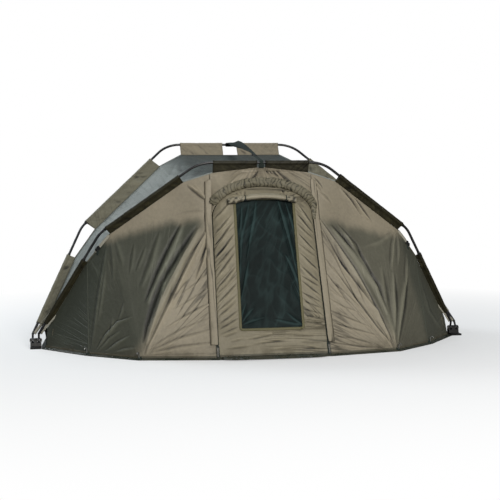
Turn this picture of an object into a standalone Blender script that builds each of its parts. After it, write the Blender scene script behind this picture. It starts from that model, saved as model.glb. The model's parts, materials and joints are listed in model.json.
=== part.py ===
"""Bivvy tent: a two-hoop shelter that closes like a pram hood.

Two bent pole hoops turn on one axis between a left and a right ground hub.
Cloth gores span from the front hoop to the rear hoop, a rear wall runs down to
the ground behind, and a front panel with a zipped, windowed door runs down to
the ground in front. X is to the right of someone who faces the door, Y runs
from the door to the back, Z is up, and the origin lies on the ground midway
between the hubs. All lengths are in metres.
"""
import math

import bmesh
import bpy
from mathutils import Matrix, Vector

# Hoop axis and hubs
HUB_SPAN = 2.90
AXIS_HEIGHT = 0.050
EYE_SPACING = 0.040
EYE_RADIUS = 0.015
EYE_WIDTH = 0.014
PIN_RADIUS = 0.005
PIN_HEAD_RADIUS = 0.009
PIN_HEAD_DEPTH = 0.004
HUB_EAR_WIDTH = 0.008
HUB_EAR_RADIUS = 0.014
HUB_BASE_DEPTH = 0.150
HUB_BASE_HEIGHT = 0.012
HUB_FLANK = 0.0224
NECK_HEIGHT = 0.045
NECK_RADIUS = 0.007

# Pole tube
POLE_RADIUS = 0.009
POLE_WALL = 0.0012
SPIGOT_LENGTH = 0.040
SPIGOT_PLAY = 0.0007

# Front hoop, measured in its own plane from the hub axis
FRONT_LEAN_DEG = 18.8
FRONT_ELBOW_X = 1.031
FRONT_ELBOW_RISE = 0.752
FRONT_SHOULDER_X = 0.404
FRONT_TOP_RISE = 1.2225
FRONT_ELBOW_BEND = 0.20
FRONT_SHOULDER_BEND = 0.26
FRONT_LEG_BARE = 0.214
FRONT_SIDE_BARE_LOW = 0.050
FRONT_SIDE_BARE_HIGH = 0.156
FRONT_CROWN_BARE = 0.090
FRONT_CENTRE_GAP = 0.056
FRONT_LEG_SLEEVE = 0.030
FRONT_SIDE_SLEEVE = 0.046
FRONT_CROWN_SLEEVE = 0.068

# Rear hoop, measured in its own plane from the hub axis
REAR_LEAN_DEG = 33.65
REAR_ELBOW_X = 1.1255
REAR_ELBOW_RISE = 0.8765
REAR_SHOULDER_X = 0.474
REAR_TOP_RISE = 1.590
REAR_ELBOW_BEND = 0.22
REAR_SHOULDER_BEND = 0.22
REAR_LEG_BARE = 0.252
REAR_SIDE_BARE_LOW = 0.050
REAR_SIDE_BARE_HIGH = 0.190
REAR_CROWN_BARE = 0.100
REAR_CENTRE_GAP = 0.110
REAR_LEG_SLEEVE = 0.050
REAR_SIDE_SLEEVE = 0.085
REAR_CROWN_SLEEVE = 0.095

# Cloth
CLOTH = 0.003
SEAM_INSET = 0.004
SLEEVE_CLOTH = 0.0016
SLEEVE_PLAY = 0.0008
SLEEVE_START = 0.135
SLEEVE_MOUTH_DEG = 40.0
SLEEVE_NECK = 0.0150
CANOPY_START = 0.100
ROOF_SAG = 0.045
WALL_SAG = 0.025
REAR_SAG = 0.035
REAR_FOLD = 0.014
SEAM_SHARE = 0.03

# Hem on the ground
HEM_HEIGHT = 0.010
DOOR_FOOT_X = 0.351
DOOR_FOOT_Y = -0.783
INNER_PEG_X = 0.816
INNER_PEG_Y = -0.687
OUTER_PEG_INSET = 0.331
OUTER_PEG_Y = -0.421
REAR_DEPTH = 1.430
REAR_HEM_ROUNDNESS = 0.80

# Front panel
KNEE_X = 0.334
KNEE_Y = -0.424
KNEE_Z = 0.880
WING_FOLD = 0.020
CREASE_SHARE = 0.72
WING_HUB_Y = -0.060
FOLD_LOW_Z = 0.02
FOLD_MIDDLE_Z = 0.52
FLAP_WIDTH = 0.036
FLAP_PROUD = 0.0045
ZIP_WIDTH = 0.010
ZIP_DEPTH = 0.002
ZIP_EDGE_GAP = 0.003
SLIDER_LENGTH = 0.024
SLIDER_DEPTH = 0.006
PULL_LENGTH = 0.034
SLIDER_LIFT = 0.004

# Door
DOOR_HEADROOM = 0.156
DOOR_ARCH_RISE = 0.200
ARCH_SQUARENESS = 2.2
ARCH_GAP = 0.005
WINDOW_SHARE = 0.585
WINDOW_SILL_Z = 0.170
WINDOW_HEADROOM = 0.077
DOOR_FACE_Y = -0.723
DOOR_FACE_SLOPE = 0.30
WINDOW_MESH = 0.0015
WINDOW_LAP = 0.012
NET_GAP = 0.005
COVER_RADIUS = 0.020
COVER_LEFT = 0.236
COVER_RIGHT = 0.206
COVER_DROOP = 0.026
HOOD_RADIUS = 0.021
HOOD_TURN_DEG = 70.0
HOOD_GATHERS = 9
HOOD_GATHER_DEPTH = 0.22

# Strap over the ridge
STRAP_WIDTH = 0.044
STRAP_THICKNESS = 0.002
STRAP_WRAP_DEG = 150.0

# Ground sheet and pegs
SHEET_THICKNESS = 0.004
SHEET_LIP = 0.028
SHEET_HUB_NOTCH = 0.080
PEG_RADIUS = 0.003
PEG_HEIGHT = 0.050
PEG_HOOK_RADIUS = 0.009
PEG_HOOK_TURN_DEG = 200.0
REAR_PEG_TURN_DEG = 58.0

# Rear vent
VENT_WIDTH = 0.340
VENT_TOP_SHARE = 0.30
VENT_BOTTOM_SHARE = 0.52
VENT_BULGE = 0.055
VENT_PITCH_DEG = 20.0

# Clearances and fineness
TOUCH_GAP = 0.0005
PIN_PLAY = 0.0004
PEG_PLAY = 0.0006
SIDES = {"left": -1, "right": 1}
POLE_SIDES_RESOLUTION = 4
ROUND_SEGMENTS = 16
HUB_HEAD_STEP_DEG = 20
ELBOW_STEPS = 4
SHOULDER_STEPS = 6
SLEEVE_ARC_STEPS = 10
SLEEVE_BORE_SEGMENTS = 12
ROOF_STEPS = 6
REAR_WALL_STEPS = 8

# Places worked out from the sizes above
HALF_SPAN = HUB_SPAN / 2
FRONT_FOOT_X = HALF_SPAN - EYE_SPACING / 2
REAR_FOOT_X = HALF_SPAN + EYE_SPACING / 2
EYE_SLOT = EYE_WIDTH + 4 * TOUCH_GAP
HUB_INNER_X = FRONT_FOOT_X - EYE_SLOT / 2 - HUB_EAR_WIDTH
HUB_OUTER_X = REAR_FOOT_X + EYE_SLOT / 2 + HUB_EAR_WIDTH
OUTER_PEG_X = HALF_SPAN - OUTER_PEG_INSET
FRONT_CROWN_Z = AXIS_HEIGHT + FRONT_TOP_RISE * math.cos(math.radians(FRONT_LEAN_DEG))
DOOR_ARCH_SPRING = FRONT_CROWN_Z - DOOR_HEADROOM - DOOR_ARCH_RISE
WINDOW_HEAD_Z = DOOR_ARCH_SPRING + DOOR_ARCH_RISE - WINDOW_HEADROOM
AXIS_POINT = Vector((0.0, 0.0, AXIS_HEIGHT))
CABIN_POINT = Vector((0.0, 0.15, 0.35))
FLOOR_CENTRE = Vector((0.0, 0.30))
CABIN_HALF_WIDTH = 0.35
CABIN_LEAN = 0.8
CABIN_MIDDLE_Z = 0.45
CROWN_CORNER = 4


# Scene, collections and materials

def clear_scene():
    for old in list(bpy.data.objects):
        bpy.data.objects.remove(old, do_unlink=True)


def make_collection(name):
    collection = bpy.data.collections.new(name)
    bpy.context.scene.collection.children.link(collection)
    return collection


clear_scene()
PARTS = make_collection("bivvy_tent")
CUTTERS = make_collection("cutters")


def make_material(name, colour, roughness, metallic=0.0):
    material = bpy.data.materials.new(name)
    material.use_nodes = True
    shader = material.node_tree.nodes["Principled BSDF"]
    shader.inputs["Base Color"].default_value = (*colour, 1.0)
    shader.inputs["Roughness"].default_value = roughness
    shader.inputs["Metallic"].default_value = metallic
    return material


PANEL_CLOTH = make_material("panel_cloth", (0.240, 0.212, 0.155), 0.62)
ROOF_CLOTH = make_material("roof_cloth", (0.190, 0.200, 0.175), 0.50)
REAR_SLEEVE_CLOTH = make_material("rear_sleeve_cloth", (0.200, 0.180, 0.130), 0.60)
FRONT_SLEEVE_CLOTH = make_material("front_sleeve_cloth", (0.030, 0.027, 0.016), 0.55)
POLE_PAINT = make_material("pole_paint", (0.012, 0.012, 0.012), 0.35, 0.4)
HUB_PLASTIC = make_material("hub_plastic", (0.020, 0.020, 0.020), 0.50)
STEEL = make_material("steel", (0.560, 0.560, 0.550), 0.30, 1.0)
WINDOW_NET = make_material("window_net", (0.018, 0.024, 0.026), 0.35)
COVER_CLOTH = make_material("cover_cloth", (0.150, 0.130, 0.085), 0.60)
SHEET_PVC = make_material("sheet_pvc", (0.030, 0.034, 0.022), 0.40)
WEBBING = make_material("webbing", (0.022, 0.030, 0.024), 0.70)


def finish(obj, material):
    """Gives an object its material and puts it among the parts."""
    obj.data.materials.clear()
    obj.data.materials.append(material)
    for collection in list(obj.users_collection):
        collection.objects.unlink(obj)
    PARTS.objects.link(obj)
    return obj


def hide_tool(obj):
    """Keeps a cutting or joining tool out of the finished part."""
    for collection in list(obj.users_collection):
        collection.objects.unlink(obj)
    CUTTERS.objects.link(obj)
    obj.hide_render = True
    obj.display_type = "WIRE"
    return obj


def hinge_point(name, place):
    """Makes the empty that carries everything turning or sliding together."""
    empty = bpy.data.objects.new(name, None)
    empty.empty_display_size = 0.05
    empty.location = place
    PARTS.objects.link(empty)
    return empty


def carry(obj, empty):
    obj.parent = empty
    obj.matrix_parent_inverse = Matrix.Translation(-empty.location)
    return obj


# Shape tools

def mesh_object(name, bm):
    mesh = bpy.data.meshes.new(name)
    bm.to_mesh(mesh)
    bm.free()
    obj = bpy.data.objects.new(name, mesh)
    PARTS.objects.link(obj)
    return obj


def frame_matrix(place, x_axis, y_axis):
    """Placing matrix whose local X and Y run along the two given directions."""
    x_axis = x_axis.normalized()
    z_axis = x_axis.cross(y_axis).normalized()
    y_axis = z_axis.cross(x_axis)
    turn = Matrix((x_axis, y_axis, z_axis)).transposed()
    return Matrix.Translation(place) @ turn.to_4x4()


def bar(name, start, end, radius, segments=ROUND_SEGMENTS):
    """Plain round bar between two points."""
    start, end = Vector(start), Vector(end)
    direction = end - start
    turn = direction.to_track_quat("Z", "Y").to_matrix().to_4x4()
    place = Matrix.Translation((start + end) / 2) @ turn
    bm = bmesh.new()
    bmesh.ops.create_cone(
        bm, cap_ends=True, segments=segments, radius1=radius, radius2=radius,
        depth=direction.length, matrix=place)
    return mesh_object(name, bm)


def block(name, low, high):
    """Box between two opposite corners."""
    low, high = Vector(low), Vector(high)
    size = high - low
    place = Matrix.Translation((low + high) / 2) @ Matrix.Diagonal((*size, 1.0))
    bm = bmesh.new()
    bmesh.ops.create_cube(bm, size=1.0, matrix=place)
    return mesh_object(name, bm)


def combine(obj, tool, operation):
    """Adds a Boolean that joins or cuts with a hidden tool."""
    hide_tool(tool)
    step = obj.modifiers.new(operation.lower(), "BOOLEAN")
    step.operation = operation
    step.solver = "EXACT"
    step.object = tool
    return obj


def smooth(obj, angle_deg=35.0):
    obj.data.shade_smooth()
    obj.data.set_sharp_from_angle(angle=math.radians(angle_deg))
    return obj


def pole(name, points, radii, wall=POLE_WALL):
    """Hollow tube along a route, with its own radius at each point."""
    curve = bpy.data.curves.new(name, "CURVE")
    curve.dimensions = "3D"
    curve.bevel_depth = POLE_RADIUS
    curve.bevel_resolution = POLE_SIDES_RESOLUTION
    curve.use_fill_caps = False
    spline = curve.splines.new("POLY")
    spline.points.add(len(points) - 1)
    for knot, point, radius in zip(spline.points, points, radii):
        knot.co = (*point, 1.0)
        knot.radius = radius / POLE_RADIUS
    obj = bpy.data.objects.new(name, curve)
    PARTS.objects.link(obj)
    shell = obj.modifiers.new("wall", "SOLIDIFY")
    shell.thickness = wall
    shell.offset = -1.0
    return obj


def round_route(name, points, radius, resolution=POLE_SIDES_RESOLUTION, swell=None):
    """Solid round piece along a route, with closed ends.

    swell holds a share of the radius for each point, or None for all alike.
    """
    curve = bpy.data.curves.new(name, "CURVE")
    curve.dimensions = "3D"
    curve.bevel_depth = radius
    curve.bevel_resolution = resolution
    curve.use_fill_caps = True
    spline = curve.splines.new("POLY")
    spline.points.add(len(points) - 1)
    for knot, point, share in zip(spline.points, points, swell or [1.0] * len(points)):
        knot.co = (*point, 1.0)
        knot.radius = share
    obj = bpy.data.objects.new(name, curve)
    PARTS.objects.link(obj)
    return obj


def as_mesh(obj):
    """Turns a curve into a welded mesh object of the same name and place."""
    graph = bpy.context.evaluated_depsgraph_get()
    mesh = bpy.data.meshes.new_from_object(obj.evaluated_get(graph))
    bm = bmesh.new()
    bm.from_mesh(mesh)
    bmesh.ops.remove_doubles(bm, verts=bm.verts, dist=0.00001)
    bm.to_mesh(mesh)
    bm.free()
    name, place = obj.name, obj.matrix_world.copy()
    bpy.data.objects.remove(obj, do_unlink=True)
    solid = bpy.data.objects.new(name, mesh)
    solid.matrix_world = place
    PARTS.objects.link(solid)
    return solid


def flat_outline(name, loops, length, matrix):
    """Extruded flat outline: the first loop is the edge and the rest are holes."""
    curve = bpy.data.curves.new(name, "CURVE")
    curve.dimensions = "2D"
    curve.fill_mode = "BOTH"
    curve.extrude = length / 2
    for loop in loops:
        spline = curve.splines.new("POLY")
        spline.points.add(len(loop) - 1)
        for knot, (x, y) in zip(spline.points, loop):
            knot.co = (x, y, 0.0, 1.0)
        spline.use_cyclic_u = True
    obj = bpy.data.objects.new(name, curve)
    obj.matrix_world = matrix
    PARTS.objects.link(obj)
    return obj


def circle_loop(radius, segments, centre=(0.0, 0.0)):
    steps = [2 * math.pi * i / segments for i in range(segments)]
    return [(centre[0] + radius * math.cos(a), centre[1] + radius * math.sin(a))
            for a in steps]


def sheet(name, rows, thickness=CLOTH, left_out=()):
    """Sheet of cloth through rows of points, its thickness on the cabin side.

    left_out holds the (row, column) cells that stay open, such as a window.
    """
    bm = bmesh.new()
    grid = [[bm.verts.new(point) for point in row] for row in rows]
    for i in range(len(rows) - 1):
        for j in range(len(rows[0]) - 1):
            if (i, j) not in left_out:
                bm.faces.new((grid[i][j], grid[i][j + 1], grid[i + 1][j + 1], grid[i + 1][j]))
    bmesh.ops.recalc_face_normals(bm, faces=bm.faces)
    outward = sum((f.normal.dot(f.calc_center_median() - CABIN_POINT) for f in bm.faces))
    if outward < 0:
        bmesh.ops.reverse_faces(bm, faces=bm.faces)
    obj = mesh_object(name, bm)
    shell = obj.modifiers.new("cloth", "SOLIDIFY")
    shell.thickness = thickness
    shell.offset = -1.0
    shell.use_even_offset = True
    return smooth(obj)


def mix(a, b, share):
    return a + (b - a) * share


def ramp(low, high, value):
    """Smooth step from 0 at low to 1 at high."""
    t = min(1.0, max(0.0, (value - low) / (high - low)))
    return t * t * (3 - 2 * t)


def rounded_corner(before, corner, after, radius, steps):
    """Points of the arc that rounds one corner of a route, in the plane."""
    back = (before - corner).normalized()
    ahead = (after - corner).normalized()
    half = back.angle(ahead) / 2
    reach = radius / math.tan(half)
    centre = corner + (back + ahead).normalized() * (radius / math.sin(half))
    first = corner + back * reach - centre
    last = corner + ahead * reach - centre
    swing = first.angle_signed(last)
    points = []
    for i in range(steps + 1):
        turn = -swing * i / steps
        spun = Vector((
            first.x * math.cos(turn) - first.y * math.sin(turn),
            first.x * math.sin(turn) + first.y * math.cos(turn)))
        points.append(centre + spun)
    return points


# Hoops

class Hoop:
    """One bent pole hoop. In its leaning plane u runs sideways and v up from the axis."""

    def __init__(self, name, lean_deg, foot_x, elbow, shoulder, bends, bare, gap, sleeves):
        self.name = name
        self.lean = math.radians(lean_deg)
        self.up = Vector((0.0, math.sin(self.lean), math.cos(self.lean)))
        self.back = Vector((0.0, math.cos(self.lean), -math.sin(self.lean)))
        self.neck = Vector((foot_x, NECK_HEIGHT))
        self.elbow = Vector(elbow)
        self.shoulder = Vector(shoulder)
        self.elbow_bend, self.shoulder_bend = bends
        self.leg_bare, self.side_bare_low, self.side_bare_high, self.crown_bare = bare
        self.gap = gap
        self.leg_sleeve, self.side_sleeve, self.crown_sleeve = sleeves
        self.leg_way = (self.elbow - self.neck).normalized()
        self.side_way = (self.shoulder - self.elbow).normalized()

    def at(self, side, flat, back=0.0):
        """World point of a flat (u, v) point, moved back out of the plane."""
        place = AXIS_POINT + self.up * flat[1] + self.back * back
        return Vector((side * flat[0], place.y, place.z))

    def leg_end(self):
        return self.elbow - self.leg_way * self.leg_bare

    def side_start(self):
        return self.elbow + self.side_way * self.side_bare_low

    def side_end(self):
        return self.shoulder - self.side_way * self.side_bare_high

    def crown_start(self):
        return Vector((self.shoulder.x - self.crown_bare, self.shoulder.y))

    def canopy_corners(self):
        """Where the canopy edge turns, from the foot up to the middle of the crown."""
        leg_in = Vector((-self.leg_way.y, self.leg_way.x))
        side_in = Vector((-self.side_way.y, self.side_way.x))
        drop = Vector((0.0, -self.crown_sleeve))
        low = self.neck + self.leg_way * (CANOPY_START - NECK_HEIGHT)
        return [
            low + leg_in * self.leg_sleeve,
            self.leg_end() + leg_in * self.leg_sleeve,
            self.side_start() + side_in * self.side_sleeve,
            self.side_end() + side_in * self.side_sleeve,
            self.crown_start() + drop,
            Vector((0.0, self.shoulder.y)) + drop]


FRONT = Hoop(
    "front", -FRONT_LEAN_DEG, FRONT_FOOT_X,
    (FRONT_ELBOW_X, FRONT_ELBOW_RISE), (FRONT_SHOULDER_X, FRONT_TOP_RISE),
    (FRONT_ELBOW_BEND, FRONT_SHOULDER_BEND),
    (FRONT_LEG_BARE, FRONT_SIDE_BARE_LOW, FRONT_SIDE_BARE_HIGH, FRONT_CROWN_BARE),
    FRONT_CENTRE_GAP, (FRONT_LEG_SLEEVE, FRONT_SIDE_SLEEVE, FRONT_CROWN_SLEEVE))
REAR = Hoop(
    "rear", REAR_LEAN_DEG, REAR_FOOT_X,
    (REAR_ELBOW_X, REAR_ELBOW_RISE), (REAR_SHOULDER_X, REAR_TOP_RISE),
    (REAR_ELBOW_BEND, REAR_SHOULDER_BEND),
    (REAR_LEG_BARE, REAR_SIDE_BARE_LOW, REAR_SIDE_BARE_HIGH, REAR_CROWN_BARE),
    REAR_CENTRE_GAP, (REAR_LEG_SLEEVE, REAR_SIDE_SLEEVE, REAR_CROWN_SLEEVE))


def edge_point(hoop, side, k, back):
    """Point of the canopy edge; k counts corners, 0 at the foot and 5 at mid crown."""
    corners = hoop.canopy_corners()
    i = min(int(k), len(corners) - 2)
    return hoop.at(side, mix(corners[i], corners[i + 1], k - i), back)


def corner_count_at(hoop, x):
    """The k of the canopy edge point at a distance x from the middle, near the crown."""
    corners = hoop.canopy_corners()
    return 4 - (x - corners[4].x) / (corners[3].x - corners[4].x) if x > corners[4].x else 4.0


def build_leg(hoop, side_name, side, axis):
    """Leg tube with the neck and eye that turn on the hub pin."""
    start = hoop.at(side, hoop.neck)
    end = hoop.at(side, hoop.leg_end())
    name = f"{hoop.name}_leg_{side_name}"
    tube = as_mesh(pole(name, [start, end], [POLE_RADIUS] * 2))
    eye_centre = hoop.at(side, (hoop.neck.x, 0.0))
    half_eye = Vector((EYE_WIDTH / 2, 0.0, 0.0))
    half_bore = Vector((EYE_WIDTH, 0.0, 0.0))
    plug_radius = POLE_RADIUS - POLE_WALL / 2
    way = (end - start).normalized()
    plug_start = start - way * POLE_WALL
    plug_end = start + way * SPIGOT_LENGTH
    combine(tube, bar(name + "_plug", plug_start, plug_end, plug_radius), "UNION")
    combine(tube, bar(name + "_neck", eye_centre, start + hoop.up * NECK_RADIUS,
                      NECK_RADIUS), "UNION")
    combine(tube, bar(name + "_eye", eye_centre - half_eye, eye_centre + half_eye,
                      EYE_RADIUS), "UNION")
    combine(tube, bar(name + "_bore", eye_centre - half_bore, eye_centre + half_bore,
                      PIN_RADIUS + PIN_PLAY), "DIFFERENCE")
    return carry(finish(smooth(tube), POLE_PAINT), axis)


def spigot_radius():
    return POLE_RADIUS - POLE_WALL - SPIGOT_PLAY


def jointed_pole(name, flat_route, hoop, side):
    """Tube whose two ends step down and plug into the straight tubes beside it."""
    first_way = (flat_route[1] - flat_route[0]).normalized()
    last_way = (flat_route[-1] - flat_route[-2]).normalized()
    taper = 4 * TOUCH_GAP
    start = flat_route[0]
    end = flat_route[-1]
    route = [start - first_way * SPIGOT_LENGTH, start - first_way * TOUCH_GAP,
             start + first_way * taper]
    route += flat_route[1:-1]
    route += [end - last_way * taper, end + last_way * TOUCH_GAP,
              end + last_way * SPIGOT_LENGTH]
    thin, full = spigot_radius(), POLE_RADIUS
    radii = [thin, thin] + [full] * (len(route) - 4) + [thin, thin]
    points = [hoop.at(side, flat) for flat in route]
    return pole(name, points, radii)


def build_elbow(hoop, side_name, side, axis):
    bend = rounded_corner(hoop.neck, hoop.elbow, hoop.shoulder, hoop.elbow_bend, ELBOW_STEPS)
    route = [hoop.leg_end()] + bend + [hoop.side_start()]
    obj = jointed_pole(f"{hoop.name}_elbow_{side_name}", route, hoop, side)
    return carry(finish(obj, POLE_PAINT), axis)


def build_side_pole(hoop, side_name, side, axis):
    ends = [hoop.at(side, hoop.side_start()), hoop.at(side, hoop.side_end())]
    obj = pole(f"{hoop.name}_side_pole_{side_name}", ends, [POLE_RADIUS] * 2)
    return carry(finish(obj, POLE_PAINT), axis)


def build_crown(hoop, axis):
    """Crown tube over the top, bent down at both shoulders."""
    middle = Vector((0.0, hoop.shoulder.y))
    bend = rounded_corner(hoop.elbow, hoop.shoulder, middle, hoop.shoulder_bend, SHOULDER_STEPS)
    half = [hoop.side_end()] + bend
    mirrored = [Vector((-flat.x, flat.y)) for flat in reversed(half)]
    obj = jointed_pole(f"{hoop.name}_crown_pole", half + mirrored, hoop, 1)
    return carry(finish(obj, POLE_PAINT), axis)


def sleeve_loops(width):
    """Cross-section of a pole sleeve: a ring round the pole and a flap to the canopy."""
    inner = POLE_RADIUS + SLEEVE_PLAY
    outer = inner + SLEEVE_CLOTH
    half = CLOTH / 2
    ring = []
    for i in range(SLEEVE_ARC_STEPS + 1):
        turn = mix(SLEEVE_MOUTH_DEG, 360 - SLEEVE_MOUTH_DEG, i / SLEEVE_ARC_STEPS)
        angle = math.radians(turn)
        ring.append((outer * math.cos(angle), outer * math.sin(angle)))
    flap_end = max(width - SEAM_INSET / 2, SLEEVE_NECK + CLOTH)
    flap = [(SLEEVE_NECK, -half), (flap_end, -half), (flap_end, half), (SLEEVE_NECK, half)]
    return [ring + flap, circle_loop(inner, SLEEVE_BORE_SEGMENTS)]


def build_sleeve(name, hoop, side, start, end, inward, width, cloth, axis):
    """Cloth tunnel over one straight stretch of pole."""
    way = (end - start).normalized()
    start = start + way * TOUCH_GAP
    end = end - way * TOUCH_GAP
    first, last = hoop.at(side, start), hoop.at(side, end)
    inward_world = (hoop.at(side, start + inward) - first).normalized()
    along = (last - first).normalized()
    matrix = frame_matrix((first + last) / 2, inward_world, along.cross(inward_world))
    obj = flat_outline(name, sleeve_loops(width), (last - first).length, matrix)
    return carry(finish(obj, cloth), axis)


def build_sleeves(hoop, side_name, side, cloth, axis):
    leg_in = Vector((-hoop.leg_way.y, hoop.leg_way.x))
    side_in = Vector((-hoop.side_way.y, hoop.side_way.x))
    leg_start = hoop.neck + hoop.leg_way * (SLEEVE_START - NECK_HEIGHT)
    build_sleeve(f"{hoop.name}_leg_sleeve_{side_name}", hoop, side, leg_start,
                 hoop.leg_end(), leg_in, hoop.leg_sleeve, cloth, axis)
    build_sleeve(f"{hoop.name}_side_sleeve_{side_name}", hoop, side, hoop.side_start(),
                 hoop.side_end(), side_in, hoop.side_sleeve, cloth, axis)
    crown_end = Vector((hoop.gap / 2, hoop.shoulder.y))
    build_sleeve(f"{hoop.name}_crown_sleeve_{side_name}", hoop, side, hoop.crown_start(),
                 crown_end, Vector((0.0, -1.0)), hoop.crown_sleeve, cloth, axis)


def build_hoop(hoop, cloth, axis):
    for side_name, side in SIDES.items():
        build_leg(hoop, side_name, side, axis)
        build_elbow(hoop, side_name, side, axis)
        build_side_pole(hoop, side_name, side, axis)
        build_sleeves(hoop, side_name, side, cloth, axis)
    build_crown(hoop, axis)


# Hubs

def build_hub(side_name, side):
    """Ground block with three ears and two slots, one for each hoop's eye."""
    half_depth = HUB_BASE_DEPTH / 2
    steps = [math.radians(a) for a in range(0, 181, HUB_HEAD_STEP_DEG)]
    head = [(HUB_EAR_RADIUS * math.cos(a), AXIS_HEIGHT + HUB_EAR_RADIUS * math.sin(a))
            for a in steps]
    outline = [(-half_depth, 0.0), (half_depth, 0.0), (half_depth, HUB_BASE_HEIGHT),
               (HUB_FLANK, HUB_BASE_HEIGHT)] + head + [
               (-HUB_FLANK, HUB_BASE_HEIGHT), (-half_depth, HUB_BASE_HEIGHT)]
    width = HUB_OUTER_X - HUB_INNER_X
    centre = side * (HUB_OUTER_X + HUB_INNER_X) / 2
    matrix = frame_matrix(Vector((centre, 0.0, 0.0)), Vector((0, 1, 0)), Vector((0, 0, 1)))
    hub = as_mesh(flat_outline(f"hub_{side_name}", [outline], width, matrix))
    slot_floor = AXIS_HEIGHT - EYE_RADIUS - 2 * TOUCH_GAP
    slot_top = AXIS_HEIGHT + HUB_EAR_RADIUS * 2
    for label, foot_x in (("front", FRONT_FOOT_X), ("rear", REAR_FOOT_X)):
        low = (side * foot_x - EYE_SLOT / 2, -half_depth, slot_floor)
        high = (side * foot_x + EYE_SLOT / 2, half_depth, slot_top)
        combine(hub, block(f"hub_{side_name}_{label}_slot", low, high), "DIFFERENCE")
    combine(hub, bar(f"hub_{side_name}_bore", (centre - width, 0, AXIS_HEIGHT),
                     (centre + width, 0, AXIS_HEIGHT), PIN_RADIUS + PIN_PLAY), "DIFFERENCE")
    return finish(hub, HUB_PLASTIC)


def build_hub_pin(side_name, side):
    """Turned pin with a head at each end, through the hub's ears."""
    half = (HUB_OUTER_X - HUB_INNER_X) / 2 + TOUCH_GAP
    head_end = half + PIN_HEAD_DEPTH
    profile = [(0.0, head_end), (PIN_HEAD_RADIUS, head_end), (PIN_HEAD_RADIUS, half),
               (PIN_RADIUS, half), (PIN_RADIUS, -half), (PIN_HEAD_RADIUS, -half),
               (PIN_HEAD_RADIUS, -head_end), (0.0, -head_end)]
    mesh = bpy.data.meshes.new(f"hub_pin_{side_name}")
    edges = [(i, i + 1) for i in range(len(profile) - 1)]
    mesh.from_pydata([(r, 0.0, h) for r, h in profile], edges, [])
    obj = bpy.data.objects.new(f"hub_pin_{side_name}", mesh)
    PARTS.objects.link(obj)
    spin = obj.modifiers.new("turned", "SCREW")
    spin.steps = ROUND_SEGMENTS
    spin.render_steps = ROUND_SEGMENTS
    spin.use_merge_vertices = True
    spin.merge_threshold = 0.0001
    spin.use_smooth_shade = True
    centre = side * (HUB_OUTER_X + HUB_INNER_X) / 2
    obj.matrix_world = Matrix.Translation((centre, 0, AXIS_HEIGHT)) @ Matrix.Rotation(
        math.radians(90), 4, "Y")
    return finish(obj, STEEL)


# Roof between the hoops

def inward_at(side, k):
    """Direction from the canopy into the cabin at a canopy corner."""
    middle = mix(edge_point(FRONT, side, k, 0.0), edge_point(REAR, side, k, 0.0), 0.5)
    reach = CABIN_HALF_WIDTH * min(1.0, k / CROWN_CORNER)
    target = Vector((side * reach, middle.y * CABIN_LEAN, CABIN_MIDDLE_Z))
    return (target - middle).normalized()


def roof_point(side, k, t):
    """Point of the roof, k along the hoops and t from the front hoop to the rear."""
    front = edge_point(FRONT, side, k, SEAM_INSET)
    rear = edge_point(REAR, side, k, -SEAM_INSET)
    sag = mix(WALL_SAG, ROOF_SAG, ramp(1.0, 4.0, k)) * ramp(0.0, 0.8, k)
    return mix(front, rear, t) + inward_at(side, k) * sag * math.sin(math.pi * t)


def shares(start, end, count):
    return [mix(start, end, i / count) for i in range(count + 1)]


def build_roof_panel(name, side, k_start, k_end, steps, axis):
    across = shares(0.0, 1.0, ROOF_STEPS)
    rows = [[roof_point(side, k, t) for t in across] for k in shares(k_start, k_end, steps)]
    return carry(finish(sheet(name, rows), ROOF_CLOTH), axis)


def build_roof(axis):
    for side_name, side in SIDES.items():
        build_roof_panel(f"roof_wall_{side_name}", side, 0.0, 2.0 - SEAM_SHARE, 9, axis)
        build_roof_panel(f"roof_slope_{side_name}", side, 2.0, 3.0 - SEAM_SHARE, 4, axis)
    half = shares(3.0, 4.0, 3) + shares(4.0, 5.0, 2)[1:]
    places = [(1, k) for k in half] + [(-1, k) for k in reversed(half[:-1])]
    across = shares(0.0, 1.0, ROOF_STEPS)
    rows = [[roof_point(side, k, t) for t in across] for side, k in places]
    carry(finish(sheet("roof_crown", rows), ROOF_CLOTH), axis)


# Rear wall

def rear_hem(side, turn_deg, height=HEM_HEIGHT):
    """Point of the rear hem, turned from the hub (0) to the middle of the back (90)."""
    turn = math.radians(turn_deg)
    x = (HUB_INNER_X - SHEET_LIP) * math.cos(turn) ** REAR_HEM_ROUNDNESS if turn_deg < 90 else 0.0
    y = REAR_DEPTH * math.sin(turn) ** REAR_HEM_ROUNDNESS
    return Vector((side * x, y, height))


def rear_turn(k):
    """Hem turn below a canopy corner, in degrees."""
    turns = [4.0, 24.0, 38.0, 60.0, 72.0, 90.0]
    i = min(int(k), len(turns) - 2)
    return mix(turns[i], turns[i + 1], k - i)


def rear_point(side, k, t):
    """Point of the rear wall, t from the rear hoop (0) to the hem (1)."""
    top = edge_point(REAR, side, k, SEAM_INSET)
    turn = rear_turn(k)
    foot = rear_hem(side, turn)
    swell = math.sin(math.pi * t)
    inward = Vector((-side * math.cos(math.radians(turn)), -math.sin(math.radians(turn)), 0.0))
    fold = REAR_FOLD * math.exp(-((turn - REAR_PEG_TURN_DEG) / 3.0) ** 2) * t * swell
    sag = REAR_SAG * ramp(0.0, 1.5, k) * swell
    return mix(top, foot, t) + inward * (sag - fold)


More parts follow.
